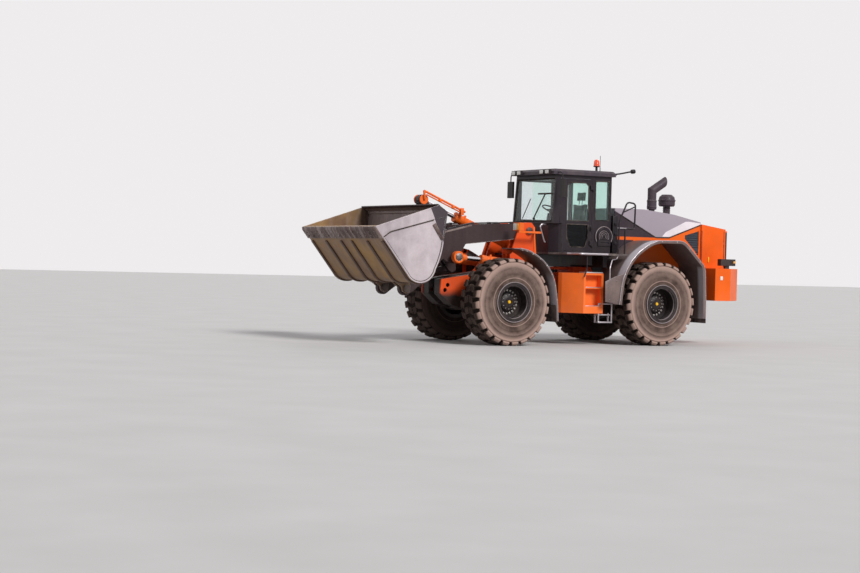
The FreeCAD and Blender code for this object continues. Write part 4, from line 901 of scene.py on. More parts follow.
def dress_wheels():
    parts = (("tyre", tyre_shape, "tyre_rubber", "tyre_rubber"),
             ("rim_rings", face_rings, "rim_edge", "rim_paint"),
             ("rim_bolts", face_bolts, "bolt_steel", "rim_paint"),
             ("hub_plug", face_cap, "yellow_paint", "rim_paint"),
             ("hub_bosses", hub_plate, "rim_paint", "rim_paint"))
    for label, make, finish_name, slot in parts:
        for wheel in WHEELS:
            bm = bmesh.new()
            make(bm)
            if wheel.endswith("right"):
                bmesh.ops.rotate(bm, verts=bm.verts[:], cent=(0, 0, 0),
                                 matrix=Matrix.Rotation(math.pi, 3, "Z"))
            name = label + "_" + wheel + ("_tread" if label == "tyre" else "")
            replaced = ("tyre_" + wheel,) if label == "tyre" else ()
            finish(bm, name, finish_name, "wheel_" + wheel, move=pins["wheel_" + wheel],
                   replaced=replaced)


# Bucket
LIP, HEEL = Vector((4.900, 0, 2.210)), Vector((4.150, 0, 1.270))
BUCKET_LEDGE = [(3.671, 2.377), (4.592, 2.127), (4.733, 2.024)]
BUCKET_HEEL = (4.150, 1.270), (3.860, 1.190), (3.600, 1.450)
BUCKET_BACK = (3.600, 1.450), (3.490, 1.730), (3.440, 2.020)
EDGE_SECTION = ((0.0, 0.0), (0.260, 0.0), (0.260, 0.030), (0.045, 0.030))
STRIPS, STRIP_HALF, STRIP_T = (-1.46, -0.86, -0.22, 0.22, 0.86, 1.46), 0.038, 0.030


def under_floor(along, out, y):
    """Point under the bucket's floor: along from the lip, out from the plate, at y."""
    run = (HEEL - LIP).normalized()
    away = Vector((-run.z, 0, run.x))
    place = LIP + run * along + away * out
    return Vector((place.x, y, place.z)), away


def dress_bucket():
    bm = bmesh.new()
    plate(bm, [(3.690, 2.269), (3.625, 2.314), (3.434, 2.034), (3.499, 1.989)], BUCKET_Y - 0.013,
          BUCKET_Y + 0.002, 0.004)
    plate(bm, [(3.668, 2.262), (3.628, 2.288), (3.456, 2.036), (3.496, 2.010)], BUCKET_Y + 0.001,
          BUCKET_Y + 0.005, 0.001)
    finish(bm, "bucket_corner_bars", "edge_steel", "bucket", both=True)
    bm = bmesh.new()
    # Painted shadow: dark strips along the side plate's ledge and inside its curved rim, where these
    # steps cast shade.
    bent_sheet(bm, rounded(BUCKET_LEDGE, (0.05,)), 0.020, BUCKET_Y - 0.004, BUCKET_Y + 0.003, 0.0)
    path = [Vector((4.716, 1.979))] + arc(*BUCKET_HEEL) + arc(*BUCKET_BACK)[1:]
    bent_sheet(bm, inset(path, 0.026), 0.013, BUCKET_Y - 0.014, BUCKET_Y - 0.008, 0.0)
    finish(bm, "bucket_side_shadow_lines", "seal_rubber", "bucket", both=True)
    bm = bmesh.new()
    section = [under_floor(along, out, 0)[0] for along, out in EDGE_SECTION]
    plate(bm, [(p.x, p.z) for p in section], -BUCKET_Y, BUCKET_Y, 0.004)
    finish(bm, "bucket_cutting_edge", "edge_steel", "bucket", replaced=("bucket_edge",))
    bm = bmesh.new()
    start = under_floor(0.33, 0, 0)[0]
    path = [Vector((start.x, start.z))] + arc(*BUCKET_HEEL) + arc(*BUCKET_BACK, steps=5)[1:3]
    for y in STRIPS:
        bent_sheet(bm, path, -STRIP_T, y - STRIP_HALF, y + STRIP_HALF, 0.005)
    finish(bm, "bucket_wear_strips", "strip_steel", "bucket")
    bm = bmesh.new()
    count = 14
    for i in range(count):
        y = -BUCKET_Y + 0.12 + i * (2 * BUCKET_Y - 0.24) / (count - 1)
        for along in (0.11, 0.20):
            place, away = under_floor(along, 0.029, y)
            bolt(bm, place, away, 0.017)
    finish(bm, "bucket_edge_bolts", "edge_steel", "bucket")
    bm = bmesh.new()
    block(bm, (3.530, -BUCKET_Y + 0.01, 2.634), (3.592, BUCKET_Y - 0.01, 2.660), 0.006, turn=-32)
    for y in (-1.1, -0.4, 0.4, 1.1):
        plate(bm, [(3.38, 2.30), (3.38, 2.50), (3.345, 2.47), (3.345, 2.33)], y - 0.012, y + 0.012)
    finish(bm, "bucket_spill_guard", "boom_paint", "bucket")


# Lifting gear
BOOM_PIN, CRANK_TOP, TILT_FOOT = (0.900, 2.250), (3.080, 2.800), (1.000, 1.950)
LIFT_EYE, LIFT_FOOT, LIFT_Y = (2.590, 1.690), (0.750, 1.560), 0.640


def pin_cap(bm, place, y, radius, bolts=3):
    """Pin end plate with its screws, facing left."""
    x, z = place
    lathe(bm, [(0, 0), (0, radius), (0.014, radius), (0.018, radius - 0.006), (0.018, 0)],
          (x, y, z), (0, 1, 0), sides=36, closed=False)
    for spot in ring_of(bolts, radius * 0.6, (x, y + 0.018, z), 0.4):
        bolt(bm, spot, (0, 1, 0), 0.010)


def dress_boom():
    bm = bmesh.new()
    pin_cap(bm, BOOM_PIN, 0.565, 0.075)
    pin_cap(bm, LIFT_FOOT, LIFT_Y + 0.075, 0.060)
    finish(bm, "tower_pin_caps", "old_steel", "front", both=True)
    bm = bmesh.new()
    plate(bm, [(0.718, 1.740), (0.756, 1.740), (0.800, 2.330), (0.762, 2.330)], 0.492, 0.552)
    finish(bm, "tower_edge_plates", "cylinder_orange", "front", both=True)
    bm = bmesh.new()
    pin_cap(bm, LIFT_EYE, LIFT_Y + 0.058, 0.070, 2)
    finish(bm, "lift_rod_pin_caps", "pin_steel", "lift_rods", both=True)
    bm = bmesh.new()
    x, z = LIFT_EYE
    lathe(bm, [(-0.060, 0.078), (-0.060, 0.112), (-0.052, 0.116), (0.052, 0.116), (0.060, 0.112),
               (0.060, 0.078)], (x, LIFT_Y, z), (0, 1, 0), 40)
    bar(bm, (x - 0.09, LIFT_Y, z - 0.006), (x - 0.19, LIFT_Y, z - 0.013), 0.075, 28, 0.004, 0.060)
    finish(bm, "lift_rod_eyes", "cylinder_orange", "lift_rods", both=True)
    bm = bmesh.new()
    for y in (-0.118, 0.118):
        lathe(bm, [(-0.010, 0.0), (-0.010, 0.090), (-0.004, 0.096), (0.004, 0.096), (0.010, 0.090),
                   (0.010, 0.0)], (CRANK_TOP[0], y, CRANK_TOP[1]), (0, 1, 0), 36, closed=False)
    finish(bm, "crank_top_pin", "cylinder_orange", "bell_crank")
    bm = bmesh.new()
    lathe(bm, [(-0.053, 0.060), (-0.053, 0.090), (-0.047, 0.096), (0.047, 0.096), (0.053, 0.090),
               (0.053, 0.060)], (CRANK_TOP[0], 0, CRANK_TOP[1]), (0, 1, 0), 40)
    finish(bm, "tilt_rod_eye", "boom_paint", "tilt_rod")
    bm = bmesh.new()
    bar(bm, (3.105, 0.160, 2.968), (2.160, 0.160, 2.582), 0.022, 18, 0.004)
    bar(bm, (3.105, 0.160, 2.975), (3.080, 0.155, 2.800), 0.024, 18, 0.003)
    bar(bm, (3.050, 0.160, 2.895), (2.240, 0.160, 2.564), 0.014, 14, 0.003)
    for x, z in ((2.74, 2.794), (2.44, 2.671)):
        block(bm, (x - 0.03, 0.128, z - 0.034), (x + 0.03, 0.192, z + 0.034), 0.008, turn=-22)
    finish(bm, "bucket_position_bar", "cylinder_orange", "tilt_rod")
    bm = bmesh.new()
    line = [(1.05, 0.407, 2.418), (1.62, 0.407, 2.388), (2.20, 0.407, 2.362), (2.72, 0.407, 2.236)]
    tube(bm, line, 0.013, bend=0.15)
    tube(bm, [(x, y + 0.034, z) for x, y, z in line], 0.013, bend=0.15)
    for x, z in ((1.25, 2.408), (1.75, 2.384), (2.15, 2.366), (2.50, 2.292)):
        block(bm, (x - 0.02, 0.390, z - 0.030), (x + 0.02, 0.458, z + 0.016), 0.004)
    finish(bm, "boom_oil_lines", "rail_black", "boom", both=True)
    bm = bmesh.new()
    outline = [(2.20, 2.335), (2.80, 2.190), (3.22, 1.715), (3.20, 1.690), (2.78, 2.160),
               (2.20, 2.300)]
    plate(bm, outline, 0.4805, 0.4835, 0.0)
    plate(bm, [(1.15, 2.092), (2.31, 1.962), (2.31, 1.950), (1.15, 2.080)], 0.4805, 0.4860, 0.0)
    finish(bm, "boom_edge_strips", "edge_steel", "boom", both=True)


def on_line(first, last, t):
    """Point at the distance t from first towards last in the side view, and the way there."""
    run = Vector((last[0] - first[0], 0, last[1] - first[1])).normalized()
    return Vector((first[0], 0, first[1])) + run * t, run


def cylinder_trim(bm, first, last, y, radius, length):
    """Gland, tie bands and oil ports of a cylinder's barrel."""
    for t, wide, grow in ((length - 0.010, 0.05, 0.014), (length - 0.16, 0.02, 0.008),
                          (length * 0.45, 0.03, 0.006), (0.16, 0.03, 0.006)):
        place, run = on_line(first, last, t)
        centre = (place.x, y, place.z)
        lathe(bm, [(-wide / 2, radius - 0.01), (-wide / 2, radius + grow), (wide / 2, radius + grow),
                   (wide / 2, radius - 0.01)], centre, run, 40)
    for t in (0.22, length - 0.20):
        place, run = on_line(first, last, t)
        up = Vector((-run.z, 0, run.x))
        start = Vector((place.x, y, place.z)) + up * (radius - 0.005)
        bar(bm, start, start + up * 0.040, 0.022, 16, 0.003)


def dress_cylinders():
    bm = bmesh.new()
    cylinder_trim(bm, LIFT_FOOT, LIFT_EYE, LIFT_Y, 0.082, 1.30)
    finish(bm, "lift_barrel_trim", "cylinder_orange", "lift_barrels", both=True)
    bm = bmesh.new()
    cylinder_trim(bm, TILT_FOOT, CRANK_TOP, 0.0, 0.092, 1.39)
    x0, x1, foot = 2.210, 2.280, 2.520
    block(bm, (x0, 0.040, foot), (x1, 0.205, foot + 0.018), 0.004)
    for y in (0.125, 0.195):
        block(bm, (x0, y - 0.005, foot), (x1, y + 0.005, foot + 0.140), 0.004)
    finish(bm, "tilt_barrel_trim", "cylinder_orange", "tilt_barrel")


# Frames, fenders and platform
FRONT_FENDER = [(0.770, 0.490), (0.785, 0.800), (0.875, 1.350), (1.130, 1.680), (1.480, 1.860),
                (1.690, 1.892)]
FRONT_REACH = (0.10, 0.20, 0.18, 0.16)
REAR_FENDER = [(-2.872, 0.560), (-2.870, 0.880), (-2.830, 1.630), (-2.280, 2.140),
               (-1.520, 2.140), (-1.000, 1.800), (-0.750, 1.350), (-0.690, 0.830)]
REAR_REACH = (0.10, 0.12, 0.12, 0.25, 0.30, 0.20)
FENDER_T, EDGE_T, EDGE_W = 0.016, 0.016, 0.060
FENDER_IN, FRAME_SIDE, FRONT_EDGE_W = 0.800, 0.375, 0.028
MUDGUARD = [(-0.350, 1.283), (-0.365, 0.878), (-0.700, 0.831), (-0.765, 1.340), (-0.790, 1.440),
            (-0.600, 1.390)]
STEP_X0, STEP_X1, STEP_FOOT, STEP_TOP, STEP_BAR = -0.690, -0.340, 0.450, 0.850, 0.030


def dress_fenders():
    path = rounded(REAR_FENDER, REAR_REACH)
    bm = bmesh.new()
    bent_sheet(bm, path, FENDER_T, HOOD_Y, FENDER_Y - 0.001)
    bent_sheet(bm, path, EDGE_W, FENDER_Y - EDGE_T, FENDER_Y)
    crest = path[1 + 2 * ROUND_POINTS:-1]
    bent_sheet(bm, [p + Vector((0, 0.002)) for p in crest], 0.014, FENDER_Y - 0.23, FENDER_Y - 0.20)
    finish(bm, "rear_fender_skins", "fender_paint_and_highlight", "rear", both=True,
           replaced=("rear_fenders",))
    front_path = rounded(FRONT_FENDER, FRONT_REACH)
    bm = bmesh.new()
    bent_sheet(bm, front_path, FENDER_T, FENDER_IN, FENDER_Y - 0.001)
    bent_sheet(bm, front_path, FRONT_EDGE_W, FENDER_Y - EDGE_T, FENDER_Y)
    finish(bm, "front_fender_skins", "fender_paint_and_highlight", "front", both=True,
           replaced=("front_fenders",))
    bm = bmesh.new()
    block(bm, (0.800, FRAME_SIDE, 1.260), (0.885, FENDER_Y - 0.100, 1.320), 0.008)
    block(bm, (1.560, FRAME_SIDE, 1.120), (1.640, 0.762, 1.170), 0.008)
    block(bm, (1.560, 0.738, 1.120), (1.640, 0.762, 1.860), 0.006)
    plate(bm, [(1.490, 1.852), (1.672, 1.872), (1.672, 1.856), (1.640, 1.780), (1.560, 1.780)], 0.738,
          0.940, 0.004)
    finish(bm, "front_fender_arms", "frame_orange", "front", both=True)
    for name, line, body in (("front", front_path, "front"), ("rear", path, "rear")):
        bm = bmesh.new()
        tube(bm, [(p.x, FENDER_Y - 0.002, p.y) for p in line[::3] + line[-1:]], 0.008, 8, bend=0.05)
        finish(bm, name + "_fender_beads", "rail_steel", body, both=True)
    for name, line, body in (("front", FRONT_FENDER, "front"), ("rear", REAR_FENDER, "rear")):
        bm = bmesh.new()
        for (x0, z0), (x1, z1) in zip(line[1:], line[2:]):
            for share in (0.25, 0.75):
                place = (x0 + (x1 - x0) * share, FENDER_Y, z0 + (z1 - z0) * share - 0.03)
                bolt(bm, place, (0, 1, 0), 0.009)
        finish(bm, name + "_fender_bolts", "bolt_steel", body, both=True)
    bm = bmesh.new()
    block(bm, (-2.886, 0.80, 0.47), (-2.872, FENDER_Y - 0.01, 0.90), 0.003)
    for y in (0.9, 1.1, 1.3):
        bolt(bm, (-2.886, y, 0.86), (-1, 0, 0), 0.011)
    finish(bm, "rear_mud_flaps", "flap_rubber", "rear", both=True)
    bm = bmesh.new()
    plate(bm, [(0.787, 0.47), (0.799, 0.47), (0.814, 0.80), (0.802, 0.80)], 0.83, FENDER_Y - 0.01)
    for y in (0.9, 1.1, 1.3):
        bolt(bm, (0.812, y, 0.76), (1, 0, 0), 0.011)
    finish(bm, "front_mud_flaps", "flap_rubber", "front", both=True)


def dress_platform():
    y, top, side = DECK_HIGH.y, DECK_HIGH.z, TANK_HIGH.y
    bm = bmesh.new()
    tube(bm, [(-0.50, y + 0.008, top - 0.02), (0.155, y + 0.008, top - 0.02),
              (0.158, 1.00, top - 0.02), (0.206, 0.910, top - 0.02)], 0.024)
    tube(bm, [(0.440, 0.45, 2.04), (0.462, 0.45, 2.05), (0.572, 0.45, 2.35), (0.535, 0.45, 2.40),
              (0.43, 0.45, 2.40)], 0.016)
    tube(bm, [(-0.455, FENDER_Y - 0.024, 1.320), (-0.455, FENDER_Y - 0.026, 1.560),
              (-0.540, FENDER_Y - 0.080, 1.715), (-0.740, y - 0.03, 1.735), (-0.780, y - 0.03, 1.81)],
         0.012)
    finish(bm, "silver_rails", "rail_steel", "rear", both=True)
    bm = bmesh.new()
    for x in (STEP_X0, STEP_X1 - STEP_BAR):
        block(bm, (x, side - 0.035, STEP_FOOT), (x + STEP_BAR, side - 0.005, STEP_TOP), 0.006)
        block(bm, (x, side - 0.150, STEP_FOOT), (x + STEP_BAR, side - 0.120, TANK_LOW.z + 0.01), 0.006)
    for z in (STEP_FOOT, STEP_TOP - STEP_BAR):
        block(bm, (STEP_X0, side - 0.035, z), (STEP_X1, side - 0.001, z + STEP_BAR), 0.008)
    block(bm, (STEP_X0 + 0.01, side - 0.150, 0.455), (STEP_X1 - 0.01, side - 0.02, 0.475), 0.004)
    block(bm, (STEP_X0, side - 0.150, 0.600), (STEP_X1, side - 0.030, 0.625), 0.005)
    finish(bm, "hanging_steps", "rail_steel", "rear", both=True, replaced=("steps",))
    bm = bmesh.new()
    plate(bm, MUDGUARD, FENDER_Y - 0.032, FENDER_Y - 0.016, 0.003)
    for spot in ((-0.42, 1.18), (-0.45, 0.92), (-0.62, 1.30), (-0.66, 0.90)):
        bolt(bm, (spot[0], FENDER_Y - 0.016, spot[1]), (0, 1, 0), 0.010)
    finish(bm, "mudguard_plates", "fender_paint_and_highlight", "rear", both=True)
    bm = bmesh.new()
    for z in (1.152, 0.782):
        block(bm, (TANK_LOW.x + 0.05, side - 0.035, z), (TANK_LOW.x + 0.43, side, z + 0.014), 0.004)
    block(bm, (TANK_LOW.x + 0.02, side - 0.22, TANK_HIGH.z),
          (TANK_LOW.x + 0.45, side, TANK_HIGH.z + 0.024), 0.006)
    finish(bm, "tank_treads", "rail_steel", "rear", both=True)
    bm = bmesh.new()
    block(bm, (-1.56, HOOD_Y - 0.005, 2.366), (-1.17, HOOD_Y + 0.025, 2.384), 0.004)
    finish(bm, "hood_step", "rail_steel", "rear", both=True)
    bm = bmesh.new()
    tube(bm, [(-0.03, 1.262, 1.815), (-0.03, 1.268, 1.52), (0.03, 1.268, 1.365)], 0.013, bend=0.10)
    block(bm, (-1.140, 0.600, top), (-1.010, 0.735, 2.620), 0.012)
    for z in (2.05, 2.25, 2.45):
        bar(bm, (-1.075, 0.735, z), (-1.075, 0.760, z), 0.035, 20, 0.004)
    finish(bm, "cab_air_duct", "rail_black", "rear")
    bm = bmesh.new()
    for i in range(22):
        x = DECK_LOW.x + 0.06 + i * 0.05
        block(bm, (x, 0.80, top - 0.001), (x + 0.008, y - 0.05, top + 0.004), 0.0)
    finish(bm, "platform_treads", "deck_dark", "rear", both=True)


# Cab
def frame_round(bm, outline, y0, y1, width):
    """Strip that follows a closed side outline, width wide."""
    middle = Vector((sum(x for x, z in outline), sum(z for x, z in outline))) / len(outline)
    count = len(outline)
    for i in range(count):
        a, b = Vector(outline[i]), Vector(outline[(i + 1) % count])
        inner = [p + (middle - p).normalized() * width * 1.35 for p in (b, a)]
        plate(bm, [tuple(a), tuple(b)] + [tuple(p) for p in inner], y0, y1, 0.0)


CAB_Y = 0.74
DOOR_UPPER = [(-0.400, 2.475), (0.135, 2.475), (0.135, 3.200), (0.075, 3.260), (-0.340, 3.260),
              (-0.400, 3.200)]
DOOR_LOWER = [(-0.400, 2.420), (0.135, 2.420), (0.135, 2.160), (0.040, 1.950), (-0.325, 1.950),
              (-0.400, 2.160)]
REAR_SIDE = [(-0.905, 2.500), (-0.560, 2.500), (-0.560, 3.310), (-0.905, 3.310)]
RIGHT_SIDE = [(-0.480, 2.500), (0.290, 2.500), (0.290, 3.310), (-0.480, 3.310)]


def dress_cab():
    bm = bmesh.new()
    for pane in (DOOR_UPPER, DOOR_LOWER):
        frame_round(bm, pane, CAB_Y - 0.010, CAB_Y + 0.004, 0.016)
    finish(bm, "door_seals", "seal_rubber", "cab_door")
    bm = bmesh.new()
    frame_round(bm, REAR_SIDE, CAB_Y - 0.010, CAB_Y + 0.004, 0.016)
    copy_to_right(bm)
    frame_round(bm, RIGHT_SIDE, -CAB_Y - 0.004, -CAB_Y + 0.010, 0.016)
    finish(bm, "side_seals", "seal_rubber", "rear")
    bm = bmesh.new()
    block(bm, (-0.475, CAB_Y, 2.290), (-0.415, CAB_Y + 0.012, 2.400), 0.005)
    tube(bm, [(-0.445, CAB_Y + 0.006, 2.310), (-0.445, CAB_Y + 0.045, 2.318),
              (-0.445, CAB_Y + 0.045, 2.375), (-0.445, CAB_Y + 0.006, 2.384)], 0.008, bend=0.015)
    finish(bm, "door_handle", "rail_black", "cab_door")
    bm = bmesh.new()
    bar(bm, (0.474, 0.05, 2.52), (0.432, 0.40, 3.02), 0.014, 10)
    block(bm, (0.428, 0.14, 3.00), (0.446, 0.62, 3.032), 0.004)
    bar(bm, (0.455, 0.05, 2.50), (0.480, 0.05, 2.53), 0.022, 16, 0.003)
    bar(bm, (0.485, -0.35, 2.52), (0.445, -0.12, 2.92), 0.009, 10)
    finish(bm, "wipers", "seal_rubber", "rear")
    bm = bmesh.new()
    for y in (-0.705, 0.675):
        plate(bm, [(0.452, 2.45), (0.462, 2.45), (0.386, 3.33), (0.376, 3.33)], y, y + 0.03)
    for z, x in ((2.45, 0.450), (3.30, 0.378)):
        block(bm, (x, -0.70, z), (x + 0.012, 0.70, z + 0.03), 0.003)
    finish(bm, "windscreen_seal", "seal_rubber", "rear")
    bm = bmesh.new()
    tube(bm, [(-0.95, 0.60, 3.455), (-1.20, 0.62, 3.480), (-1.30, 0.63, 3.500), (-1.52, 0.64, 3.545)],
         0.017, bend=0.06)
    block(bm, (-1.14, 0.585, 3.440), (-1.00, 0.650, 3.485), 0.010)
    bar(bm, (-1.50, 0.64, 3.540), (-1.59, 0.645, 3.552), 0.045, 24, 0.016)
    bar(bm, (-0.86, 0.25, ROOF_HIGH.z - 0.002), (-0.86, 0.25, ROOF_HIGH.z + 0.03), 0.03, 20, 0.004,
        0.018)
    finish(bm, "rear_camera_arm", "rail_black", "rear")
    bm = bmesh.new()
    for x0, x1, half, low, high in ((0.559, 0.566, 0.060, 0.014, 0.086),
                                    (-1.066, -1.058, 0.052, 0.012, 0.078)):
        for y in (-0.62, -0.42, 0.42, 0.62):
            block(bm, (x0, y - half, ROOF_LOW.z + low), (x1, y + half, ROOF_LOW.z + high), 0.006)
    finish(bm, "work_lamp_lenses", "lamp_clear", "rear")
    for name, y0, y1, edge, finish_name in (("head", 0.760, 0.880, 0.010, "lamp_clear"),
                                            ("turn", 0.892, 0.952, 0.008, "lamp_amber")):
        bm = bmesh.new()
        block(bm, (1.398, y0, 2.256), (1.405, y1, 2.384), edge)
        finish(bm, name + "_lamp_lenses", finish_name, "front", both=True)
    bm = bmesh.new()
    angles = [math.radians(a) for a in range(-30, 211, 20)]
    for radius, thick in ((0.205, 0.009), (0.118, 0.006), (0.080, 0.006), (0.042, 0.006)):
        tube(bm, [(-0.775 + radius * math.cos(a), CAB_Y + 0.023, 2.185 + radius * math.sin(a))
                  for a in angles], thick, 8, bend=0.03)
    finish(bm, "vent_rings", "rim_edge", "rear")
    bm = bmesh.new()
    x, y, z = -0.730, 0.500, ROOF_HIGH.z
    lathe(bm, [(0.0, 0.0), (0.0, 0.050), (0.012, 0.050), (0.020, 0.024), (0.090, 0.024),
               (0.095, 0.064), (0.112, 0.066), (0.112, 0.0)], (x, y, z), (0, 0, 1), 40, closed=False)
    finish(bm, "beacon_foot", "mirror_black", "rear")
    bm = bmesh.new()
    lathe(bm, [(0.100, 0.0), (0.100, 0.058), (0.112, 0.062), (0.150, 0.060), (0.205, 0.055),
               (0.232, 0.044), (0.246, 0.026), (0.250, 0.0)], (x, y, z), (0, 0, 1), 40, closed=False)
    finish(bm, "beacon_dome", "beacon_amber", "rear", replaced=("beacon",))
    bm = bmesh.new()
    bar(bm, (-0.84, 0.47, z), (-0.84, 0.47, drawn("beacon")[1].z), 0.005, 12, 0.001)
    bar(bm, (-0.84, 0.47, z), (-0.84, 0.47, z + 0.10), 0.010, 14, 0.003, 0.007)
    finish(bm, "aerial", "mirror_black", "rear")
    bm = bmesh.new()
    block(bm, (0.372, 0.87, 2.962), (0.376, 1.05, 3.278), 0.001)
    finish(bm, "mirror_faces", "mirror_face", "rear", both=True)


def keep_shape(piece):
    """Gives a piece the mesh that its modifiers make, and takes them off."""
    graph = bpy.context.evaluated_depsgraph_get()
    shape = bpy.data.meshes.new_from_object(piece.evaluated_get(graph))
    piece.modifiers.clear()
    piece.data = shape


VOXEL, PRESSURE, LAST_FRAME, SWELL_CAP = 0.012, 4, 20, 0.012


def swell(piece):
    """Puffs a closed form up with a short cloth simulation, no point farther than SWELL_CAP."""
    even = piece.modifiers.new("even", "REMESH")
    even.mode = "VOXEL"
    even.voxel_size = VOXEL
    keep_shape(piece)
    start = [vert.co.copy() for vert in piece.data.vertices]
    cloth = piece.modifiers.new("swell", "CLOTH")
    cloth.settings.use_pressure = True
    cloth.settings.uniform_pressure_force = PRESSURE
    cloth.settings.effector_weights.gravity = 0
    for moment in range(1, LAST_FRAME + 1):
        bpy.context.scene.frame_set(moment)
    keep_shape(piece)
    bpy.context.scene.frame_set(1)
    for vert, place in zip(piece.data.vertices, start):
        step = vert.co - place
        if step.length > SWELL_CAP:
            vert.co = place + step * (SWELL_CAP / step.length)


def cushion(name, low, high, lean=0.0, about=(0, 0, 0), pull=0.03):
    """Crowned cushion whose sides pull in between its corners, flat on its lower side, with sewn
    channels across it and a seam round its edge.
    """
    bm = bmesh.new()
    low, high = Vector(low), Vector(high)
    centre, size = (low + high) / 2, high - low
    place = Matrix.Translation(centre) @ Matrix.Diagonal((size.x, size.y, size.z, 1.0))
    bmesh.ops.create_cube(bm, size=1.0, matrix=place)
    bmesh.ops.subdivide_edges(bm, edges=bm.edges[:], cuts=7, use_grid_fill=True)
    thin = min(range(3), key=lambda axis: size[axis])
    wide = [axis for axis in range(3) if axis != thin]

    def shares(point):
        return [(point[axis] - centre[axis]) / (size[axis] / 2) for axis in range(3)]

    for vert in bm.verts:
        share = shares(vert.co)
        crown = (1 - share[wide[0]] ** 2) * (1 - share[wide[1]] ** 2)
        vert.co[thin] = centre[thin] + share[thin] * size[thin] / 2 * (0.62 + 0.38 * crown)
        for axis, other in (wide, wide[::-1]):
            vert.co[axis] -= share[axis] * pull * (1 - share[other] ** 2) * abs(share[axis]) ** 3
    piece = finish(bm, name, "chair_black", "rear", move=(0, 0, 0), smooth=80)
    soft = piece.modifiers.new("rounding", "SUBSURF")
    soft.levels = soft.render_levels = 2
    swell(piece)
    soft = piece.modifiers.new("rounding", "SUBSURF")
    soft.levels = soft.render_levels = 1
    turn = Matrix.Translation(about) @ Matrix.Rotation(math.radians(lean), 4, "Y")
    turn = Matrix.Translation((HINGE_X, 0, 0)) @ turn @ Matrix.Translation(-Vector(about))
    for vert in piece.data.vertices:
        share = shares(vert.co)
        channel = math.exp(-((abs(share[wide[1]]) - 0.50) / 0.05) ** 2)
        channel += math.exp(-((share[wide[0]] - 0.35) / 0.04) ** 2) * (abs(share[wide[1]]) < 0.50)
        vert.co[thin] -= share[thin] * size[thin] * 0.06 * min(channel, 1.0)
        seam = math.exp(-((share[thin] - 0.18) / 0.07) ** 2)
        for axis in wide:
            vert.co[axis] -= share[axis] * abs(share[axis]) ** 5 * 0.007 * seam
        vert.co[thin] = max(vert.co[thin], low[thin])
        vert.co = turn @ vert.co
    piece.data.shade_smooth()
    return piece


def dress_chair():
    floor = DECK_HIGH.z + 0.04
    bm = bmesh.new()
    block(bm, (-0.56, -0.17, floor), (-0.24, 0.17, floor + 0.06), 0.012)
    block(bm, (-0.52, -0.15, floor + 0.06), (-0.28, 0.15, floor + 0.20), 0.02)
    block(bm, (-0.58, -0.19, floor + 0.20), (-0.22, 0.19, floor + 0.26), 0.012)
    for y in (-0.305, 0.305):
        block(bm, (-0.56, y - 0.035, floor + 0.54), (-0.20, y + 0.035, floor + 0.585), 0.014)
        block(bm, (-0.63, y - 0.030, floor + 0.33), (-0.57, y + 0.030, floor + 0.57), 0.012)
        bar(bm, (-0.24, y, floor + 0.585), (-0.24, y, floor + 0.64), 0.012, 12, 0.003)
    block(bm, (-0.66, -0.20, floor + 0.28), (-0.57, 0.20, floor + 0.36), 0.012)
    for y in (-0.05, 0.05):
        bar(bm, (-0.703, y, floor + 0.96), (-0.716, y, floor + 1.08), 0.007, 12)
    finish(bm, "chair_base", "console_black", "rear", replaced=("operator_chair",))
    cushion("chair_seat", (-0.62, -0.25, floor + 0.262), (-0.13, 0.25, floor + 0.40))
    cushion("chair_back", (-0.705, -0.23, floor + 0.39), (-0.585, 0.23, floor + 0.99), -6,
            (-0.65, 0, floor + 0.39))
    cushion("chair_headrest", (-0.76, -0.13, floor + 1.04), (-0.675, 0.13, floor + 1.22), -4,
            (-0.70, 0, floor + 1.04), 0.006)


# Hood and tail
WEDGE = [(-1.250, 2.664), (-2.176, 2.221), (-2.520, 2.226), (-3.330, 2.512)]


def dress_hood():
    bm = bmesh.new()
    for (x0, z0), (x1, z1) in zip(WEDGE, WEDGE[1:]):
        plate(bm, [(x0, z0), (x1, z1), (x1, z1 - 0.022), (x0, z0 - 0.022)], HOOD_Y, HOOD_Y + 0.008,
              0.0)
    finish(bm, "hood_edge_line", "seal_rubber", "rear", both=True)
    bm = bmesh.new()
    plate(bm, [(-2.333, 2.229), (-2.520, 2.230), (-3.330, 2.516), (-3.325, 2.540), (-3.020, 2.566),
               (-2.940, 2.560), (-2.430, 2.330)], HOOD_Y, HOOD_Y + 0.005, 0.0)
    finish(bm, "hood_white_stripe", "white_paint", "rear", both=True)
    bm = bmesh.new()
    for y in (-0.12, 0.32):
        tube(bm, [(-3.42, y, 2.505), (-3.42, y, 2.560), (-3.56, y, 2.540), (-3.56, y, 2.480)], 0.010,
             bend=0.03)
    finish(bm, "hood_handles", "rail_black", "rear")


def cut_end(verts, place, face, slide):
    """Slides vertices along a direction until they lie in the plane through place."""
    for vert in verts:
        vert.co += slide * ((place - vert.co).dot(face) / slide.dot(face))


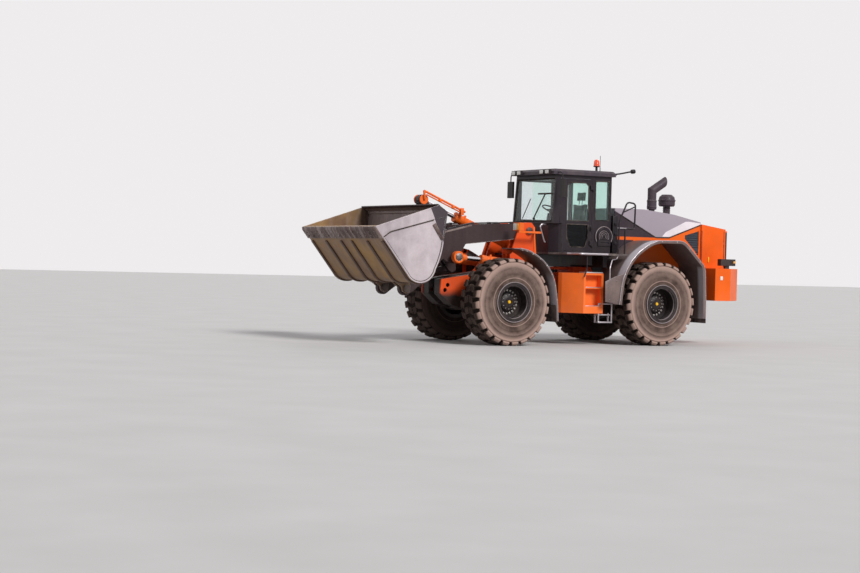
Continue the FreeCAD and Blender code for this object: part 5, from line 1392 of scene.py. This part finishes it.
def dress_exhaust():
    """Silencer with a mitred tailpipe whose open tip is cut upright."""
    knee, tip = Vector((-2.265, 0.350, 3.190)), Vector((-2.585, 0.350, 3.386))
    up, run, radius = Vector((0, 0, 1)), (tip - knee).normalized(), 0.092
    bm = bmesh.new()
    low = knee - up * 0.60
    lathe(bm, [(0.0, 0.0), (0.0, 0.062), (0.20, 0.062), (0.21, 0.100), (0.40, 0.100), (0.41, radius),
               (0.60, radius), (0.60, 0.0)], low, up, 40, closed=False)
    cut_end([v for v in bm.verts if v.co.z > knee.z - 0.001], knee, up + run, up)
    pipe = bmesh.new()
    length = (tip - knee).length
    lathe(pipe, [(0.0, 0.0), (0.0, radius), (length, radius), (length, radius - 0.008),
                 (0.15, radius - 0.008), (0.15, 0.0)], knee, run, 40, closed=False)
    cut_end([v for v in pipe.verts if (v.co - knee).dot(run) > length - 0.001], tip,
            Vector((1, 0, 0)), run)
    cut_end([v for v in pipe.verts if (v.co - knee).dot(run) < 0.001], knee, up + run, run)
    join(bm, pipe)
    for z in (2.84, 2.96):
        lathe(bm, [(z, 0.09), (z, 0.106), (z + 0.02, 0.106), (z + 0.02, 0.09)],
              (knee.x, knee.y, 0), up, 40)
    finish(bm, "exhaust_pipe", "stack_dark", "rear", replaced=("exhaust_stack",))


def dress_tail():
    y = TAIL_HIGH.y
    bm = bmesh.new()
    block(bm, (-3.545, y, 1.725), (-3.515, y + 0.018, 1.835), 0.005)
    finish(bm, "tail_latch", "yellow_paint", "rear", both=True)
    bm = bmesh.new()
    for x in (-3.352, -3.940):
        block(bm, (x - 0.006, y, 1.62), (x + 0.006, y + 0.004, TAIL_HIGH.z - 0.13), 0.0)
    finish(bm, "tail_seams", "seal_rubber", "rear", both=True)
    bm = bmesh.new()
    low, high = drawn("tail_lamps")
    block(bm, (low.x + 0.012, high.y - 0.002, high.z - 0.085),
          (low.x + 0.055, high.y + 0.008, high.z - 0.040), 0.006)
    block(bm, (low.x - 0.008, high.y - 0.250, high.z - 0.115),
          (low.x + 0.002, high.y - 0.145, high.z - 0.030), 0.006)
    finish(bm, "tail_amber", "lamp_amber", "rear", both=True)
    bm = bmesh.new()
    block(bm, (low.x - 0.008, high.y - 0.125, high.z - 0.115),
          (low.x + 0.002, high.y - 0.020, high.z - 0.030), 0.006)
    finish(bm, "tail_red", "lamp_red", "rear", both=True)
    bm = bmesh.new()
    y = BALLAST_HIGH.y
    block(bm, (-3.395, y - 0.002, 1.36), (-3.330, y + 0.006, 1.44), 0.003)
    finish(bm, "ballast_reflector", "lamp_clear", "rear", both=True)
    bm = bmesh.new()
    x, z = BALLAST_LOW.x + 0.095, BALLAST_HIGH.z
    bar(bm, (x, 0, z - 0.02), (x, 0, z + 0.05), 0.029, 24, 0.004)
    bar(bm, (x, 0, z + 0.04), (x, 0, z + 0.06), 0.045, 24, 0.004)
    finish(bm, "tow_pin_head", "pin_steel", "rear")


# Floor
def set_floor():
    bm = bmesh.new()
    bmesh.ops.create_grid(bm, x_segments=8, y_segments=8, size=120.0)
    mesh = bpy.data.meshes.new("floor")
    bm.to_mesh(mesh)
    bm.free()
    floor = bpy.data.objects.new("floor", mesh)
    material, tree = new_material("pale_floor")
    where = object_place(tree)
    cloud = spread(tree, noise(tree, where, 0.8, 4.0), 0.3, 0.7)
    colour = blend_colours(tree, cloud, (0.50, 0.487, 0.475, 1), (0.55, 0.537, 0.525, 1))
    fine = noise(tree, where, 60.0, 3.0)
    bump = bumped(tree, 0.2, 0.002, fine)
    close_material(tree, {"Base Color": colour, "Roughness": spread(tree, cloud, 0, 1, 0.8, 0.9),
                          "Normal": bump})
    mesh.materials.append(material)
    bpy.context.scene.collection.objects.link(floor)


set_camera()
set_light()
set_floor()
dress_nodes()
dress_wheels()
dress_bucket()
dress_boom()
dress_cylinders()
dress_fenders()
dress_platform()
dress_cab()
dress_chair()
dress_hood()
dress_exhaust()
dress_tail()
bpy.context.scene.view_settings.view_transform = "Standard"
